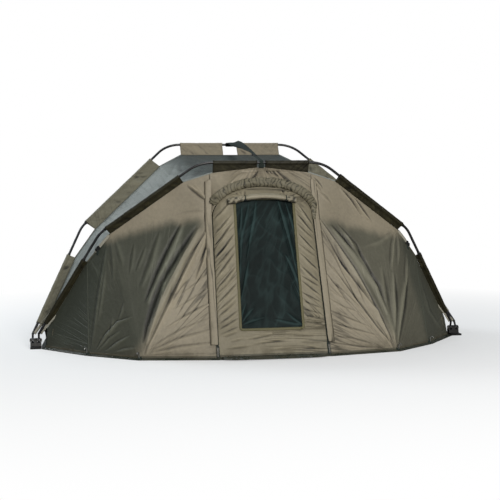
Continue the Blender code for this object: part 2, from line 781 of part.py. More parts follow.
def build_rear_wall():
    down = shares(0.0, 1.0, REAR_WALL_STEPS)
    for side_name, side in SIDES.items():
        along = shares(0.0, 3.0 - SEAM_SHARE, 14)
        rows = [[rear_point(side, k, t) for t in down] for k in along]
        finish(sheet(f"rear_wall_{side_name}", rows), PANEL_CLOTH)
    half = shares(3.0, 4.0, 4) + shares(4.0, 5.0, 3)[1:]
    places = [(1, k) for k in half] + [(-1, k) for k in reversed(half[:-1])]
    rows = [[rear_point(side, k, t) for t in down] for side, k in places]
    finish(sheet("rear_wall_centre", rows), PANEL_CLOTH)


def build_rear_vent():
    """Awning over the rear vent: closed at the top and sides, open below."""
    rows = []
    pitch = math.radians(VENT_PITCH_DEG)
    outward = Vector((0.0, math.cos(pitch), math.sin(pitch)))
    span = edge_point(REAR, 1, 4, 0.0).x
    for share in shares(0.0, 1.0, 6):
        t = mix(VENT_TOP_SHARE, VENT_BOTTOM_SHARE, share)
        row = []
        for across in shares(-1.0, 1.0, 10):
            x = across * VENT_WIDTH / 2
            side = 1 if x >= 0 else -1
            base = rear_point(side, 5 - abs(x) / span, t)
            swell = VENT_BULGE * math.sin(share * math.pi / 2) * (1 - across ** 4)
            row.append(base + outward * (SEAM_INSET + CLOTH + swell))
        rows.append(row)
    return finish(sheet("rear_vent_hood", rows), PANEL_CLOTH)


# Front panel

def zip_line(side, z):
    """Point of the door zip at a height."""
    share = (z - HEM_HEIGHT) / (KNEE_Z - HEM_HEIGHT)
    if share <= 1:
        return Vector((side * mix(DOOR_FOOT_X, KNEE_X, share), mix(DOOR_FOOT_Y, KNEE_Y, share), z))
    top = edge_point(FRONT, 1, 4, -SEAM_INSET)
    share = (z - KNEE_Z) / (top.z - KNEE_Z)
    return Vector((side * mix(KNEE_X, top.x + SEAM_INSET, share), mix(KNEE_Y, top.y, share), z))


def wing_columns(side):
    """Main verticals of a front wing: each has a top, a crease and a foot point."""
    knee = zip_line(side, KNEE_Z)
    elbow = edge_point(FRONT, side, 2, -SEAM_INSET)
    offset = side * (ZIP_WIDTH / 2 + ZIP_EDGE_GAP)
    foot = zip_line(side, HEM_HEIGHT)
    inner_peg = Vector((side * INNER_PEG_X, INNER_PEG_Y, HEM_HEIGHT))
    outer_peg = Vector((side * OUTER_PEG_X, OUTER_PEG_Y, HEM_HEIGHT))
    hub_foot = Vector((side * (HUB_INNER_X - SHEET_LIP), WING_HUB_Y, HEM_HEIGHT))
    slide = Vector((offset, 0.0, 0.0))
    inner_top = door_half_width(DOOR_ARCH_SPRING) + ARCH_GAP + ZIP_EDGE_GAP
    corners = [corner_count_at(FRONT, inner_top), 3, 2.5, 2, 1, 0]
    tops = [edge_point(FRONT, side, k, -SEAM_INSET) for k in corners]
    feet = [foot + slide, mix(foot, inner_peg, 0.55), inner_peg,
            mix(inner_peg, outer_peg, 0.65), outer_peg, hub_foot]
    creases = [knee + slide, mix(knee, elbow, 0.32), mix(knee, elbow, 0.62),
               mix(elbow, feet[3], 0.12), mix(tops[4], feet[4], 0.12), mix(tops[5], feet[5], 0.12)]
    return tops, creases, feet


def fold_height(x, z):
    """Height of the tension folds that fan out from the pegs of a front wing.

    Each fold has its two ends as (x, z), its height and its half width.
    """
    folds = (
        ((INNER_PEG_X, FOLD_LOW_Z), (KNEE_X + 0.05, KNEE_Z), 0.9, 0.040),
        ((INNER_PEG_X, FOLD_LOW_Z), (KNEE_X + 0.30, KNEE_Z), 0.7, 0.045),
        ((INNER_PEG_X - 0.06, FOLD_LOW_Z), (KNEE_X + 0.07, FOLD_MIDDLE_Z), -0.7, 0.045),
        ((INNER_PEG_X + 0.08, FOLD_LOW_Z), (FRONT_ELBOW_X - 0.18, FRONT_ELBOW_RISE), -0.6, 0.055),
        ((OUTER_PEG_X, FOLD_LOW_Z), (FRONT_ELBOW_X - 0.06, FRONT_ELBOW_RISE), 0.7, 0.030))
    total = 0.0
    for (x0, z0), (x1, z1), height, width in folds:
        run = Vector((x1 - x0, z1 - z0))
        offset = Vector((x - x0, z - z0))
        along = offset.dot(run) / run.length_squared
        beside = offset.cross(run) / run.length
        if 0 < along < 1:
            total += height * math.exp(-(beside / width) ** 2) * math.sin(math.pi * along) ** 0.6
    return WING_FOLD * total


def wing_outward(side):
    return Vector((side * 0.35, -0.90, 0.25)).normalized()


def wing_point(side, a, b):
    """Point of a front wing: a from the zip (0) to the hub (5), b from hem to top (1)."""
    tops, creases, feet = wing_columns(side)
    i = min(int(a), len(tops) - 2)
    top = mix(tops[i], tops[i + 1], a - i)
    crease = mix(creases[i], creases[i + 1], a - i)
    foot = mix(feet[i], feet[i + 1], a - i)
    if b <= CREASE_SHARE:
        point = mix(foot, crease, b / CREASE_SHARE)
    else:
        point = mix(crease, top, (b - CREASE_SHARE) / (1 - CREASE_SHARE))
    edge = ramp(0.0, 0.5, a) * ramp(5.0, 4.6, a) * ramp(0.0, 0.15, b) * ramp(1.0, 0.8, b)
    return point + wing_outward(side) * fold_height(abs(point.x), point.z) * edge


def build_wing(side_name, side, axis):
    columns = shares(0.0, 1.0, 4) + shares(1.0, 3.0, 8)[1:] + shares(3.0, 5.0, 6)[1:]
    heights = shares(0.0, CREASE_SHARE, 8) + shares(CREASE_SHARE, 1.0, 4)[1:]
    rows = [[wing_point(side, a, b) for b in heights] for a in columns]
    return carry(finish(sheet(f"front_wing_{side_name}", rows), PANEL_CLOTH), axis)


def build_storm_flap(side_name, side, axis):
    """Narrow flap on the wing beside the zip."""
    outward = wing_outward(side)
    rows = []
    for b in shares(0.02, 0.94, 14):
        first = wing_point(side, 0.0, b)
        second = wing_point(side, 0.25, b)
        way = (second - first).normalized()
        rows.append([first + way * reach + outward * (FLAP_PROUD + CLOTH)
                     for reach in (2 * TOUCH_GAP, FLAP_WIDTH / 2, FLAP_WIDTH)])
    return carry(finish(sheet(f"storm_flap_{side_name}", rows), PANEL_CLOTH), axis)


def build_zip(side_name, side, axis):
    """Zip chain on its tape, in the gap between wing and door."""
    rows = []
    for z in shares(HEM_HEIGHT + ARCH_GAP, DOOR_ARCH_SPRING, 8):
        middle = zip_line(side, z)
        rows.append([middle + Vector((x, 0.0, 0.0)) for x in (-ZIP_WIDTH / 2, ZIP_WIDTH / 2)])
    return carry(finish(sheet(f"door_zip_{side_name}", rows, ZIP_DEPTH), WEBBING), axis)


def build_slider(side_name, side, axis):
    """Zip slider with a hanging pull tab."""
    way = (zip_line(side, KNEE_Z) - zip_line(side, HEM_HEIGHT)).normalized()
    outward = Vector((0.0, -way.z, way.y)).normalized()
    place = zip_line(side, HEM_HEIGHT) + way * (PULL_LENGTH + SLIDER_LENGTH / 2 + SLIDER_LIFT)
    matrix = frame_matrix(place, outward, way)
    half_width = ZIP_WIDTH / 2 + TOUCH_GAP
    body = block(f"zip_slider_{side_name}", (TOUCH_GAP, -SLIDER_LENGTH / 2, -half_width),
                 (TOUCH_GAP + SLIDER_DEPTH, SLIDER_LENGTH / 2, half_width))
    tab = block(f"zip_slider_{side_name}_pull",
                (TOUCH_GAP + SLIDER_DEPTH * 0.55, -PULL_LENGTH - SLIDER_LENGTH / 2, -half_width * 0.6),
                (TOUCH_GAP + SLIDER_DEPTH * 0.85, 0.0, half_width * 0.6))
    body.matrix_world = matrix
    tab.matrix_world = matrix
    combine(body, tab, "UNION")
    return carry(finish(body, STEEL), axis)


def arch_z(share, lift=0.0):
    """Height of the door's arched top, at a share of its half width."""
    fall = 1 - min(1.0, abs(share)) ** ARCH_SQUARENESS
    return DOOR_ARCH_SPRING + (DOOR_ARCH_RISE + lift) * math.sqrt(fall)


def door_half_width(z):
    return abs(zip_line(1, min(z, DOOR_ARCH_SPRING)).x) - ZIP_WIDTH / 2 - ZIP_EDGE_GAP


def front_y(x, z):
    """Depth of the door and the header above it: flat in the middle, drawn back at the zips."""
    top = edge_point(FRONT, 1, 5, -SEAM_INSET)
    edge = zip_line(1, z)
    face_top = WINDOW_HEAD_Z + COVER_RADIUS
    face = DOOR_FACE_Y + DOOR_FACE_SLOPE * (min(z, face_top) - WINDOW_SILL_Z)
    if z > face_top:
        face = mix(face, top.y, (z - face_top) / (top.z - face_top))
    share = min(1.0, abs(x) / abs(edge.x))
    return mix(face, edge.y, share ** 4)


def door_point(s, z, back=0.0):
    """Point of the door, s from the left edge (-1) to the right edge (1)."""
    x = s * door_half_width(z)
    return Vector((x, front_y(x, z) + back, z))


def door_heights(s):
    """Heights of the door grid's rows at one column."""
    top = arch_z(s)
    sill = WINDOW_SILL_Z
    head = WINDOW_HEAD_Z
    if abs(s) > WINDOW_SHARE:
        side_top = arch_z(WINDOW_SHARE)
        head = HEM_HEIGHT + (top - HEM_HEIGHT) * (WINDOW_HEAD_Z - HEM_HEIGHT) / (side_top - HEM_HEIGHT)
    return shares(HEM_HEIGHT, sill, 2) + shares(sill, head, 8)[1:] + shares(head, top, 2)[1:]


DOOR_COLUMNS = [-1, -0.98, -0.93, -0.86, -0.72, -WINDOW_SHARE, -0.35, -0.12,
                0.12, 0.35, WINDOW_SHARE, 0.72, 0.86, 0.93, 0.98, 1]


def build_door(axis):
    rows = [[door_point(s, z) for z in door_heights(s)] for s in DOOR_COLUMNS]
    open_cells = {(i, j) for i in range(5, 10) for j in range(2, 10)}
    carry(finish(sheet("door_panel", rows, CLOTH, open_cells), PANEL_CLOTH), axis)

    lap = WINDOW_LAP / DOOR_FOOT_X
    behind = CLOTH + NET_GAP
    across = [-WINDOW_SHARE - lap, -WINDOW_SHARE, -0.35, -0.12,
              0.12, 0.35, WINDOW_SHARE, WINDOW_SHARE + lap]
    upward = [WINDOW_SILL_Z - WINDOW_LAP] + shares(WINDOW_SILL_Z, WINDOW_HEAD_Z, 8)
    upward.append(WINDOW_HEAD_Z + WINDOW_LAP)
    rows = [[door_point(s, z, behind) for z in upward] for s in across]
    carry(finish(sheet("window_net", rows, WINDOW_MESH), WINDOW_NET), axis)

    centre_z = WINDOW_HEAD_Z + COVER_RADIUS / 2
    route = []
    for x in shares(-COVER_LEFT, COVER_RIGHT, 12):
        z = centre_z - COVER_DROOP * (x / COVER_LEFT) ** 2
        y = front_y(x, z) - COVER_RADIUS - 4 * TOUCH_GAP
        route.append((x, y, z))
    cover = round_route("window_cover_roll", route, COVER_RADIUS)
    carry(finish(cover, COVER_CLOTH), axis)


def build_header(axis):
    """Cloth above the door arch, up to the front hoop's canopy edge."""
    rows = []
    half = door_half_width(DOOR_ARCH_SPRING) + ARCH_GAP
    for s in DOOR_COLUMNS:
        column = []
        x = s * half
        top = edge_point(FRONT, 1, corner_count_at(FRONT, abs(x)), -SEAM_INSET)
        for share in shares(0.0, 1.0, 4):
            z = mix(arch_z(s, ARCH_GAP), top.z - SEAM_INSET, share)
            column.append(Vector((x, front_y(x, z), z)))
        rows.append(column)
    return carry(finish(sheet("front_header", rows), PANEL_CLOTH), axis)


def build_arch_hood(axis):
    """Gathered storm hood that arches over the top of the door."""
    lift = HOOD_RADIUS + 2 * ARCH_GAP
    half = door_half_width(DOOR_ARCH_SPRING)
    route = []
    swell = []
    steps = 4 * HOOD_GATHERS
    for i, turn in enumerate(shares(-HOOD_TURN_DEG, HOOD_TURN_DEG, steps)):
        swell.append(1 - HOOD_GATHER_DEPTH * math.cos(math.pi * i / 4) ** 2)
        angle = math.radians(turn)
        share = math.sin(abs(angle)) ** (2 / ARCH_SQUARENESS)
        x = math.copysign(share, turn) * (half + lift)
        z = arch_z(share, lift)
        y = front_y(x, z) - HOOD_RADIUS - CLOTH - FLAP_PROUD - 4 * TOUCH_GAP
        route.append((x, y, z))
    hood = round_route("arch_hood", route, HOOD_RADIUS, 2, swell)
    return carry(finish(hood, PANEL_CLOTH), axis)


# Strap over the ridge

def build_ridge_strap(axis):
    """Strap looped round both crown tubes and drawn tight between them."""
    inner = POLE_RADIUS + SLEEVE_PLAY
    outer = inner + STRAP_THICKNESS
    rear = REAR.at(1, (0.0, REAR.shoulder.y))
    front = FRONT.at(1, (0.0, FRONT.shoulder.y))
    run = Vector((front.y - rear.y, front.z - rear.z))
    top_angle = math.atan2(run.y, run.x) - math.radians(90)
    wrap = math.radians(STRAP_WRAP_DEG)

    def arc(centre, radius, start, end):
        angles = shares(start, end, 10)
        return [(centre.y + radius * math.cos(a), centre.z + radius * math.sin(a)) for a in angles]

    outside = arc(rear, outer, top_angle - wrap, top_angle)
    outside += arc(front, outer, top_angle, top_angle + wrap)
    inside = arc(front, inner, top_angle + wrap, top_angle)
    inside += arc(rear, inner, top_angle, top_angle - wrap)
    matrix = frame_matrix(Vector((0, 0, 0)), Vector((0, 1, 0)), Vector((0, 0, 1)))
    strap = flat_outline("ridge_strap", [outside + inside], STRAP_WIDTH, matrix)
    return carry(finish(strap, WEBBING), axis)


# Ground sheet and pegs

def outset(point, distance):
    """Moves a hem point out over the ground, away from the middle of the floor."""
    flat = Vector((point[0], point[1]))
    way = (flat - FLOOR_CENTRE).normalized()
    return flat + way * distance


def peg_places(side):
    return {
        "front_inner": outset((side * INNER_PEG_X, INNER_PEG_Y), SHEET_LIP / 2),
        "front_outer": outset((side * OUTER_PEG_X, OUTER_PEG_Y), SHEET_LIP / 2),
        "rear": outset(rear_hem(side, REAR_PEG_TURN_DEG), SHEET_LIP / 2)}


def build_ground_sheet():
    """Flat sheet under the whole floor, with a lip all round and an eyelet at each peg."""
    corner_x = HUB_INNER_X - 4 * TOUCH_GAP
    notch = SHEET_HUB_NOTCH
    right = [Vector((0.0, DOOR_FOOT_Y - SHEET_LIP)),
             outset((DOOR_FOOT_X, DOOR_FOOT_Y), SHEET_LIP),
             outset((INNER_PEG_X, INNER_PEG_Y), SHEET_LIP),
             outset((OUTER_PEG_X, OUTER_PEG_Y), SHEET_LIP),
             Vector((corner_x, -notch)), Vector((corner_x, notch))]
    turns = shares(0.0, REAR_PEG_TURN_DEG, 5)[1:] + shares(REAR_PEG_TURN_DEG, 90.0, 3)[1:-1]
    for turn in turns:
        right.append(outset(rear_hem(1, turn), SHEET_LIP))
    right.append(Vector((0.0, REAR_DEPTH + SHEET_LIP)))
    left = [Vector((-p.x, p.y)) for p in reversed(right[1:-1])]
    loops = [[tuple(p) for p in right + left]]
    for side in SIDES.values():
        for place in peg_places(side).values():
            loops.append(circle_loop(PEG_RADIUS + PEG_PLAY, 12, place))
    matrix = Matrix.Translation((0, 0, SHEET_THICKNESS / 2))
    return finish(flat_outline("ground_sheet", loops, SHEET_THICKNESS, matrix), SHEET_PVC)


def build_pegs():
    """Hooked pegs through the eyelets, shown down to the ground."""
    for side_name, side in SIDES.items():
        for label, place in peg_places(side).items():
            straight = PEG_HEIGHT - PEG_HOOK_RADIUS
            route = [(place.x, place.y, 0.0), (place.x, place.y, straight)]
            way = outset(place, 1.0) - place
            for turn in shares(0.0, PEG_HOOK_TURN_DEG, 7)[1:]:
                angle = math.radians(turn)
                shift = way * PEG_HOOK_RADIUS * (1 - math.cos(angle))
                route.append((place.x + shift.x, place.y + shift.y,
                              straight + PEG_HOOK_RADIUS * math.sin(angle)))
            finish(round_route(f"peg_{label}_{side_name}", route, PEG_RADIUS, 2), STEEL)


# The whole tent

def build():
    rear_axis = hinge_point("rear_hoop_axis", AXIS_POINT)
    front_axis = hinge_point("front_hoop_axis", AXIS_POINT)
    door_axis = hinge_point("door_axis", Vector((0.0, DOOR_FOOT_Y, HEM_HEIGHT)))
    build_ground_sheet()
    build_pegs()
    build_rear_wall()
    build_rear_vent()
    build_hoop(REAR, REAR_SLEEVE_CLOTH, rear_axis)
    build_roof(rear_axis)
    build_hoop(FRONT, FRONT_SLEEVE_CLOTH, front_axis)
    build_header(front_axis)
    build_arch_hood(front_axis)
    build_ridge_strap(front_axis)
    build_door(door_axis)
    for side_name, side in SIDES.items():
        build_hub(side_name, side)
        build_hub_pin(side_name, side)
        build_wing(side_name, side, front_axis)
        build_storm_flap(side_name, side, front_axis)
        build_zip(side_name, side, front_axis)
        slider_axis = hinge_point(f"zip_slider_axis_{side_name}", zip_line(side, HEM_HEIGHT))
        build_slider(side_name, side, slider_axis)


build()
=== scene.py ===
"""Looks of a two-hoop bivvy tent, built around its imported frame. Lengths are in metres."""
import json
import math

import bmesh
import bpy
import numpy as np
from mathutils import Matrix, Vector

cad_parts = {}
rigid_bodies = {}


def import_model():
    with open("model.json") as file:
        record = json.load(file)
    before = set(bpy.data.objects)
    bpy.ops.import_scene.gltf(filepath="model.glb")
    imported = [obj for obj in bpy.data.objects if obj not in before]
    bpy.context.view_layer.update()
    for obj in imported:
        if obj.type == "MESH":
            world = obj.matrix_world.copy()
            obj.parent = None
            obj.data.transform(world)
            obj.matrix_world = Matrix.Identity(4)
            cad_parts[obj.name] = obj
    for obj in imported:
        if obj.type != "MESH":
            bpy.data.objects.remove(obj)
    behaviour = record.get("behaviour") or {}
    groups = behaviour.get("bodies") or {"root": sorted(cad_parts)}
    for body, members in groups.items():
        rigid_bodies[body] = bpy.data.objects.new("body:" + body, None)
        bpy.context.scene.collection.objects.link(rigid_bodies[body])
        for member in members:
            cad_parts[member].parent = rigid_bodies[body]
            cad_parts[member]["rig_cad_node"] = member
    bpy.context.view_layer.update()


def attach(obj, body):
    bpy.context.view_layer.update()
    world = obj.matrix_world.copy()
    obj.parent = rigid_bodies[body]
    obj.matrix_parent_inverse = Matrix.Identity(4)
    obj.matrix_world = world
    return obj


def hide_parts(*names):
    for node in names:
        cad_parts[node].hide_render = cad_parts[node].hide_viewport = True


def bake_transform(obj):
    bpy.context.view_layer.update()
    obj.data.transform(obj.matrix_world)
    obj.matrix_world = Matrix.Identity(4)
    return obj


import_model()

# Camera, fitted to the photograph's frame of 500 by 500
FRAME_SIZE = 500
FOCAL_PIXELS = 1100.0
SENSOR_WIDTH = 36.0
CAMERA_PLACE = (-1.344, -7.370, 1.033)
CAMERA_YAW = 0.1796
CAMERA_PITCH = -0.0548
CAMERA_ROLL = -0.0078

# Hoops, as the frame holds them
AXIS_HEIGHT = 0.050
HALF_SPAN = 1.450
EYE_SPACING = 0.040
NECK_HEIGHT = 0.045
POLE_RADIUS = 0.009
CANOPY_START = 0.100
SLEEVE_START = 0.135
SLEEVE_BULK = 0.0138
SLEEVE_MOUTH_DEG = 32.0
HEM_HEIGHT = 0.010
HUB_INNER_X = 1.414
SHEET_LIP = 0.028

# Cloth and its seams
CLOTH = 0.0012
SEAM_INSET = 0.0015
YARN_PITCH = 0.0011
NET_PITCH = 0.0016
RIB_PITCH = 0.0022
ROOF_SAG = 0.045
WALL_SAG = 0.025
REAR_SAG = 0.035
CABIN = np.array((0.0, 0.15, 0.35))
CABIN_HALF_WIDTH = 0.35
CABIN_LEAN = 0.8
CABIN_MIDDLE_Z = 0.45

# Front panel
DOOR_FOOT = np.array((0.351, -0.783, HEM_HEIGHT))
KNEE = np.array((0.334, -0.424, 0.880))
INNER_PEG = np.array((0.816, -0.687, HEM_HEIGHT))
OUTER_PEG = np.array((1.119, -0.421, HEM_HEIGHT))
WING_HUB_Y = -0.060
CREASE_SHARE = 0.72
FLAP_WIDTH = 0.036
ZIP_WIDTH = 0.010
ZIP_EDGE_GAP = 0.003
ZIP_PITCH = 0.005

# Door, window and hood
ARCH_SPRING = 0.8513
ARCH_RISE = 0.200
ARCH_SQUARENESS = 2.2
ARCH_GAP = 0.005
DOOR_HALF = 0.33
DOOR_EDGE_X = 0.338
WINDOW_SHARE = 0.585
WINDOW_CORNER = 0.014
WINDOW_SILL = 0.170
WINDOW_HEADROOM = 0.077
WINDOW_HEAD = ARCH_SPRING + ARCH_RISE - WINDOW_HEADROOM
DOOR_FACE_Y = -0.723
DOOR_FACE_SLOPE = 0.30
COVER_RADIUS = 0.020
COVER_LEFT = 0.236
COVER_RIGHT = 0.206
COVER_DROOP = 0.026
COVER_TIES = (-0.126, 0.140)
COVER_WINDS = 10
HOOD_RADIUS = 0.021
HOOD_TURN_LEFT_DEG = 66.0
HOOD_TURN_RIGHT_DEG = 70.0
HOOD_PLEAT_PITCH = 0.024
HOOD_WIDE = 1.32
HOOD_FLAT = 0.56
APEX_RISE = 0.034

# Rear wall
REAR_DEPTH = 1.430
REAR_HEM_ROUNDNESS = 0.80
REAR_PEG_TURN_DEG = 58.0
VENT_WIDTH = 0.340
VENT_TOP = 0.30
VENT_BOTTOM = 0.52
VENT_BULGE = 0.055

# Painted shade on the top of the roof, where it turns from the light: how strong, and where from
# mid crown it ends and starts
ROOF_TOP_SHADE = 0.95
ROOF_TOP_SHADE_END = 0.62
ROOF_TOP_SHADE_START = 0.30

# Stitches, zip teeth and strap; a stitch and a tooth are length, width and height
STITCH = (0.0050, 0.0010, 0.0008)
STITCH_PITCH = 0.008
ZIP_TOOTH = (0.0032, 0.0068, 0.0024)
STRAP_RISE = 0.030
STRAP_TWIST_DEG = 55.0
STRAP_THICKNESS = 0.0026
BUCKLE_HALF_WIDTH = 0.015

# Cloth on the ground and beside the hubs
FLOOR_MIDDLE = np.array((0.0, 0.30))
LIP_WIDTH = 0.030
MUD_FLAP_HALF_WIDTH = 0.325
MUD_FLAP_LENGTH = 0.098
GUSSET_FOOT_X = 1.352
GUSSET_TOP_X = 1.338
GUSSET_FRONT_Y = -0.085
GUSSET_REAR_Y = 0.165
GUSSET_TOP_Z = 0.132


# Arithmetic on points and grids

def mix(first, second, share):
    return first + (second - first) * share


def ramp(low, high, value):
    """Smooth step from 0 at low to 1 at high."""
    t = np.clip((np.asarray(value, float) - low) / (high - low), 0.0, 1.0)
    return t * t * (3 - 2 * t)


def in_metres(row):
    return [value / 1000 for value in row]


def unit(vectors):
    length = np.linalg.norm(vectors, axis=-1, keepdims=True)
    return vectors / np.maximum(length, 1e-9)


def grid_of(rows, columns):
    """Each row's value and each column's value, over the whole grid."""
    return np.broadcast_arrays(rows[:, None], columns[None, :])


def square_to(line, other, side):
    """Unit vectors square to a line and to another way, on the given side."""
    square = unit(np.cross(np.gradient(line, axis=0), other))
    return square * np.sign((square * side).sum(-1, keepdims=True))


def between(at, points):
    """Places at counts along a list of points."""
    return np.stack([np.interp(at, range(len(points)), points[:, i]) for i in range(3)], -1)


def bumps(x, y, seed=0):
    """Smooth random heights between about -1 and 1, alike on every run."""
    x, y = np.broadcast_arrays(np.asarray(x, float), np.asarray(y, float))
    cell_x, cell_y = np.floor(x).astype(np.int64), np.floor(y).astype(np.int64)
    in_x, in_y = x - cell_x, y - cell_y

    def corner(i, j):
        key = (cell_x + i) * 73856093 ^ (cell_y + j) * 19349663 ^ (seed + 11) * 83492791
        key = ((key >> 13) ^ key) * 60493 & 0x7FFFFFFF
        angle = (((key >> 9) ^ key) & 0xFFFF) / 65536.0 * 2 * math.pi
        return np.cos(angle) * (in_x - i) + np.sin(angle) * (in_y - j)

    u = in_x * in_x * (3 - 2 * in_x)
    v = in_y * in_y * (3 - 2 * in_y)
    low = mix(corner(0, 0), corner(1, 0), u)
    high = mix(corner(0, 1), corner(1, 1), u)
    return 1.5 * mix(low, high, v)


def ridges(x, y, seed=0):
    """Sharp random creases from 0 to 1, as crumpled cloth has."""
    return (1 - np.minimum(1.0, 2.2 * np.abs(bumps(x, y, seed)))) ** 2


def facing(places):
    """Outward direction at each point of a grid."""
    along = np.gradient(places, axis=0)
    across = np.gradient(places, axis=1)
    normal = unit(np.cross(along, across))
    outward = (normal * (places - CABIN)).sum() > 0
    return normal if outward else -normal


def raised(places, height):
    return places + facing(places) * np.asarray(height)[..., None]


def lengths_along(line):
    steps = np.linalg.norm(np.diff(line, axis=0), axis=1)
    return np.concatenate(([0.0], np.cumsum(steps)))


def resampled(line, step):
    """The line with even steps of about the given length."""
    line = np.asarray(line, float)
    reach = lengths_along(line)
    count = max(2, int(round(reach[-1] / step)) + 1)
    at = np.linspace(0.0, reach[-1], count)
    return np.stack([np.interp(at, reach, line[:, i]) for i in range(3)], -1)


def crease(x, z, route, height, width):
    """Fold along a bent line, gone at both ends: a valley on its right and a crest on its left."""
    route = np.array(route, float)
    runs = np.diff(route, axis=0)
    longs = np.hypot(runs[:, 0], runs[:, 1])
    nearest = np.full(np.shape(x), np.inf)
    beside = np.zeros(np.shape(x))
    along = np.zeros(np.shape(x))
    before = 0.0
    for start, run, long in zip(route, runs, longs):
        dx, dz = x - start[0], z - start[1]
        t = np.clip((dx * run[0] + dz * run[1]) / long ** 2, 0.0, 1.0)
        gap = np.hypot(dx - t * run[0], dz - t * run[1])
        closer = gap < nearest
        beside = np.where(closer, gap * np.sign(dz * run[0] - dx * run[1]), beside)
        along = np.where(closer, (before + t * long) / longs.sum(), along)
        nearest = np.minimum(gap, nearest)
        before += long
    taper = np.sin(math.pi * along) ** 0.5
    wide = width * (0.55 + 0.6 * np.sin(math.pi * along))
    crest = np.exp(-np.abs((beside - 0.9 * wide) / wide) ** 1.6)
    valley = np.exp(-np.abs((beside + 0.5 * wide) / (0.70 * wide)) ** 2.2)
    return height * taper * (crest - 0.85 * valley)


def fold_tone(height, tall):
    """Painted fold light: 1 for a painted highlight on crests and -1 for painted shade in valleys
    of the given height.
    """
    return np.clip(height / tall, -1.0, 1.0)


def fold(x, z, start, end, height, width):
    return crease(x, z, (start, end), height, width)


def fan(x, z, centre):
    """Grain for creases that radiate from a place: (across, along) in metres."""
    dx, dz = x - centre[0], z - centre[1]
    far = np.hypot(dx, dz)
    across = np.arctan2(dz, dx) * 0.45
    return np.stack([across, far, np.zeros(np.shape(far))], -1)


# Hoops

class Hoop:
    """One hoop. In its leaning plane u runs sideways and v up from the hub axis."""

    def __init__(self, label, lean_deg, foot_x, elbow, shoulder, bends, bare, gap, sleeves):
        self.label = label
        self.body = f"{label}_hoop"
        self.lean = math.radians(lean_deg)
        self.neck = np.array((foot_x, NECK_HEIGHT))
        self.elbow = np.array(elbow)
        self.shoulder = np.array(shoulder)
        self.elbow_bend, self.shoulder_bend = bends
        leg_bare, side_low, side_high, crown_bare = bare
        self.gap = gap
        self.leg_sleeve, self.side_sleeve, self.crown_sleeve = sleeves
        self.leg_way = unit(self.elbow - self.neck)
        self.side_way = unit(self.shoulder - self.elbow)
        self.leg_in = np.array((-self.leg_way[1], self.leg_way[0]))
        self.side_in = np.array((-self.side_way[1], self.side_way[0]))
        self.leg_end = self.elbow - self.leg_way * leg_bare
        self.side_start = self.elbow + self.side_way * side_low
        self.side_end = self.shoulder - self.side_way * side_high
        self.crown_start = self.shoulder - np.array((crown_bare, 0.0))
        drop = np.array((0.0, -self.crown_sleeve))
        low = self.neck + self.leg_way * (CANOPY_START - NECK_HEIGHT)
        self.corners = np.array([
            low + self.leg_in * self.leg_sleeve,
            self.leg_end + self.leg_in * self.leg_sleeve,
            self.side_start + self.side_in * self.side_sleeve,
            self.side_end + self.side_in * self.side_sleeve,
            self.crown_start + drop,
            np.array((0.0, self.shoulder[1])) + drop])

    def place(self, side, flat, back=0.0):
        """World points of flat (u, v) points, moved back out of the plane."""
        flat = np.asarray(flat, float)
        y = flat[..., 1] * math.sin(self.lean) + back * math.cos(self.lean)
        z = AXIS_HEIGHT + flat[..., 1] * math.cos(self.lean) - back * math.sin(self.lean)
        return np.stack([side * flat[..., 0], y, z], -1)

    def face(self, side):
        """Way out of the plane, to the rear."""
        return self.place(side, np.zeros(2), 1.0) - self.place(side, np.zeros(2))

    def edge(self, side, k, back=0.0):
        """Canopy edge; k counts its corners, 0 at the foot and 5 at mid crown."""
        k = np.asarray(k, float)
        flat = [np.interp(k, range(6), self.corners[:, i]) for i in (0, 1)]
        return self.place(side, np.stack(flat, -1), back)

    def count_at(self, x):
        """The k of the canopy edge at a distance x from the middle, near the crown."""
        span = self.corners[3, 0] - self.corners[4, 0]
        return 4 - np.maximum(0.0, np.asarray(x) - self.corners[4, 0]) / span


FRONT = Hoop("front", -18.8, HALF_SPAN - EYE_SPACING / 2, (1.031, 0.752), (0.404, 1.2225),
             (0.20, 0.26), (0.214, 0.050, 0.156, 0.090), 0.056, (0.030, 0.046, 0.068))
REAR = Hoop("rear", 33.65, HALF_SPAN + EYE_SPACING / 2, (1.1255, 0.8765), (0.474, 1.590),
            (0.22, 0.22), (0.252, 0.050, 0.190, 0.100), 0.110, (0.050, 0.085, 0.095))
SIDES = {"left": -1, "right": 1}


def round_corner(before, corner, after, radius, steps):
    """Arc that rounds one corner of a flat route."""
    back, ahead = unit(before - corner), unit(after - corner)
    half = math.acos(np.clip(back @ ahead, -1, 1)) / 2
    centre = corner + unit(back + ahead) * radius / math.sin(half)
    first = corner + back * radius / math.tan(half) - centre
    last = corner + ahead * radius / math.tan(half) - centre
    swing = math.atan2(first[0] * last[1] - first[1] * last[0], first @ last)
    turns = np.linspace(0.0, swing, steps + 1)
    spun = [(first[0] * math.cos(a) - first[1] * math.sin(a),
             first[0] * math.sin(a) + first[1] * math.cos(a)) for a in turns]
    return centre + np.array(spun)


# Meshes

def placed(name, data):
    """Puts a mesh, a lamp or a camera into the scene."""
    obj = bpy.data.objects.new(name, data)
    bpy.context.scene.collection.objects.link(obj)
    return obj


def painted(obj, material):
    obj.data.materials.clear()
    obj.data.materials.append(material)


def mark(mesh, label, values):
    """Stores a value or a vector at each point of a mesh, for its finish."""
    flat = np.asarray(values, np.float32).reshape(len(mesh.vertices), -1)
    kind, key = ("FLOAT", "value") if flat.shape[1] == 1 else ("FLOAT_VECTOR", "vector")
    attribute = mesh.attributes.new(label, kind, "POINT")
    attribute.data.foreach_set(key, flat.ravel())


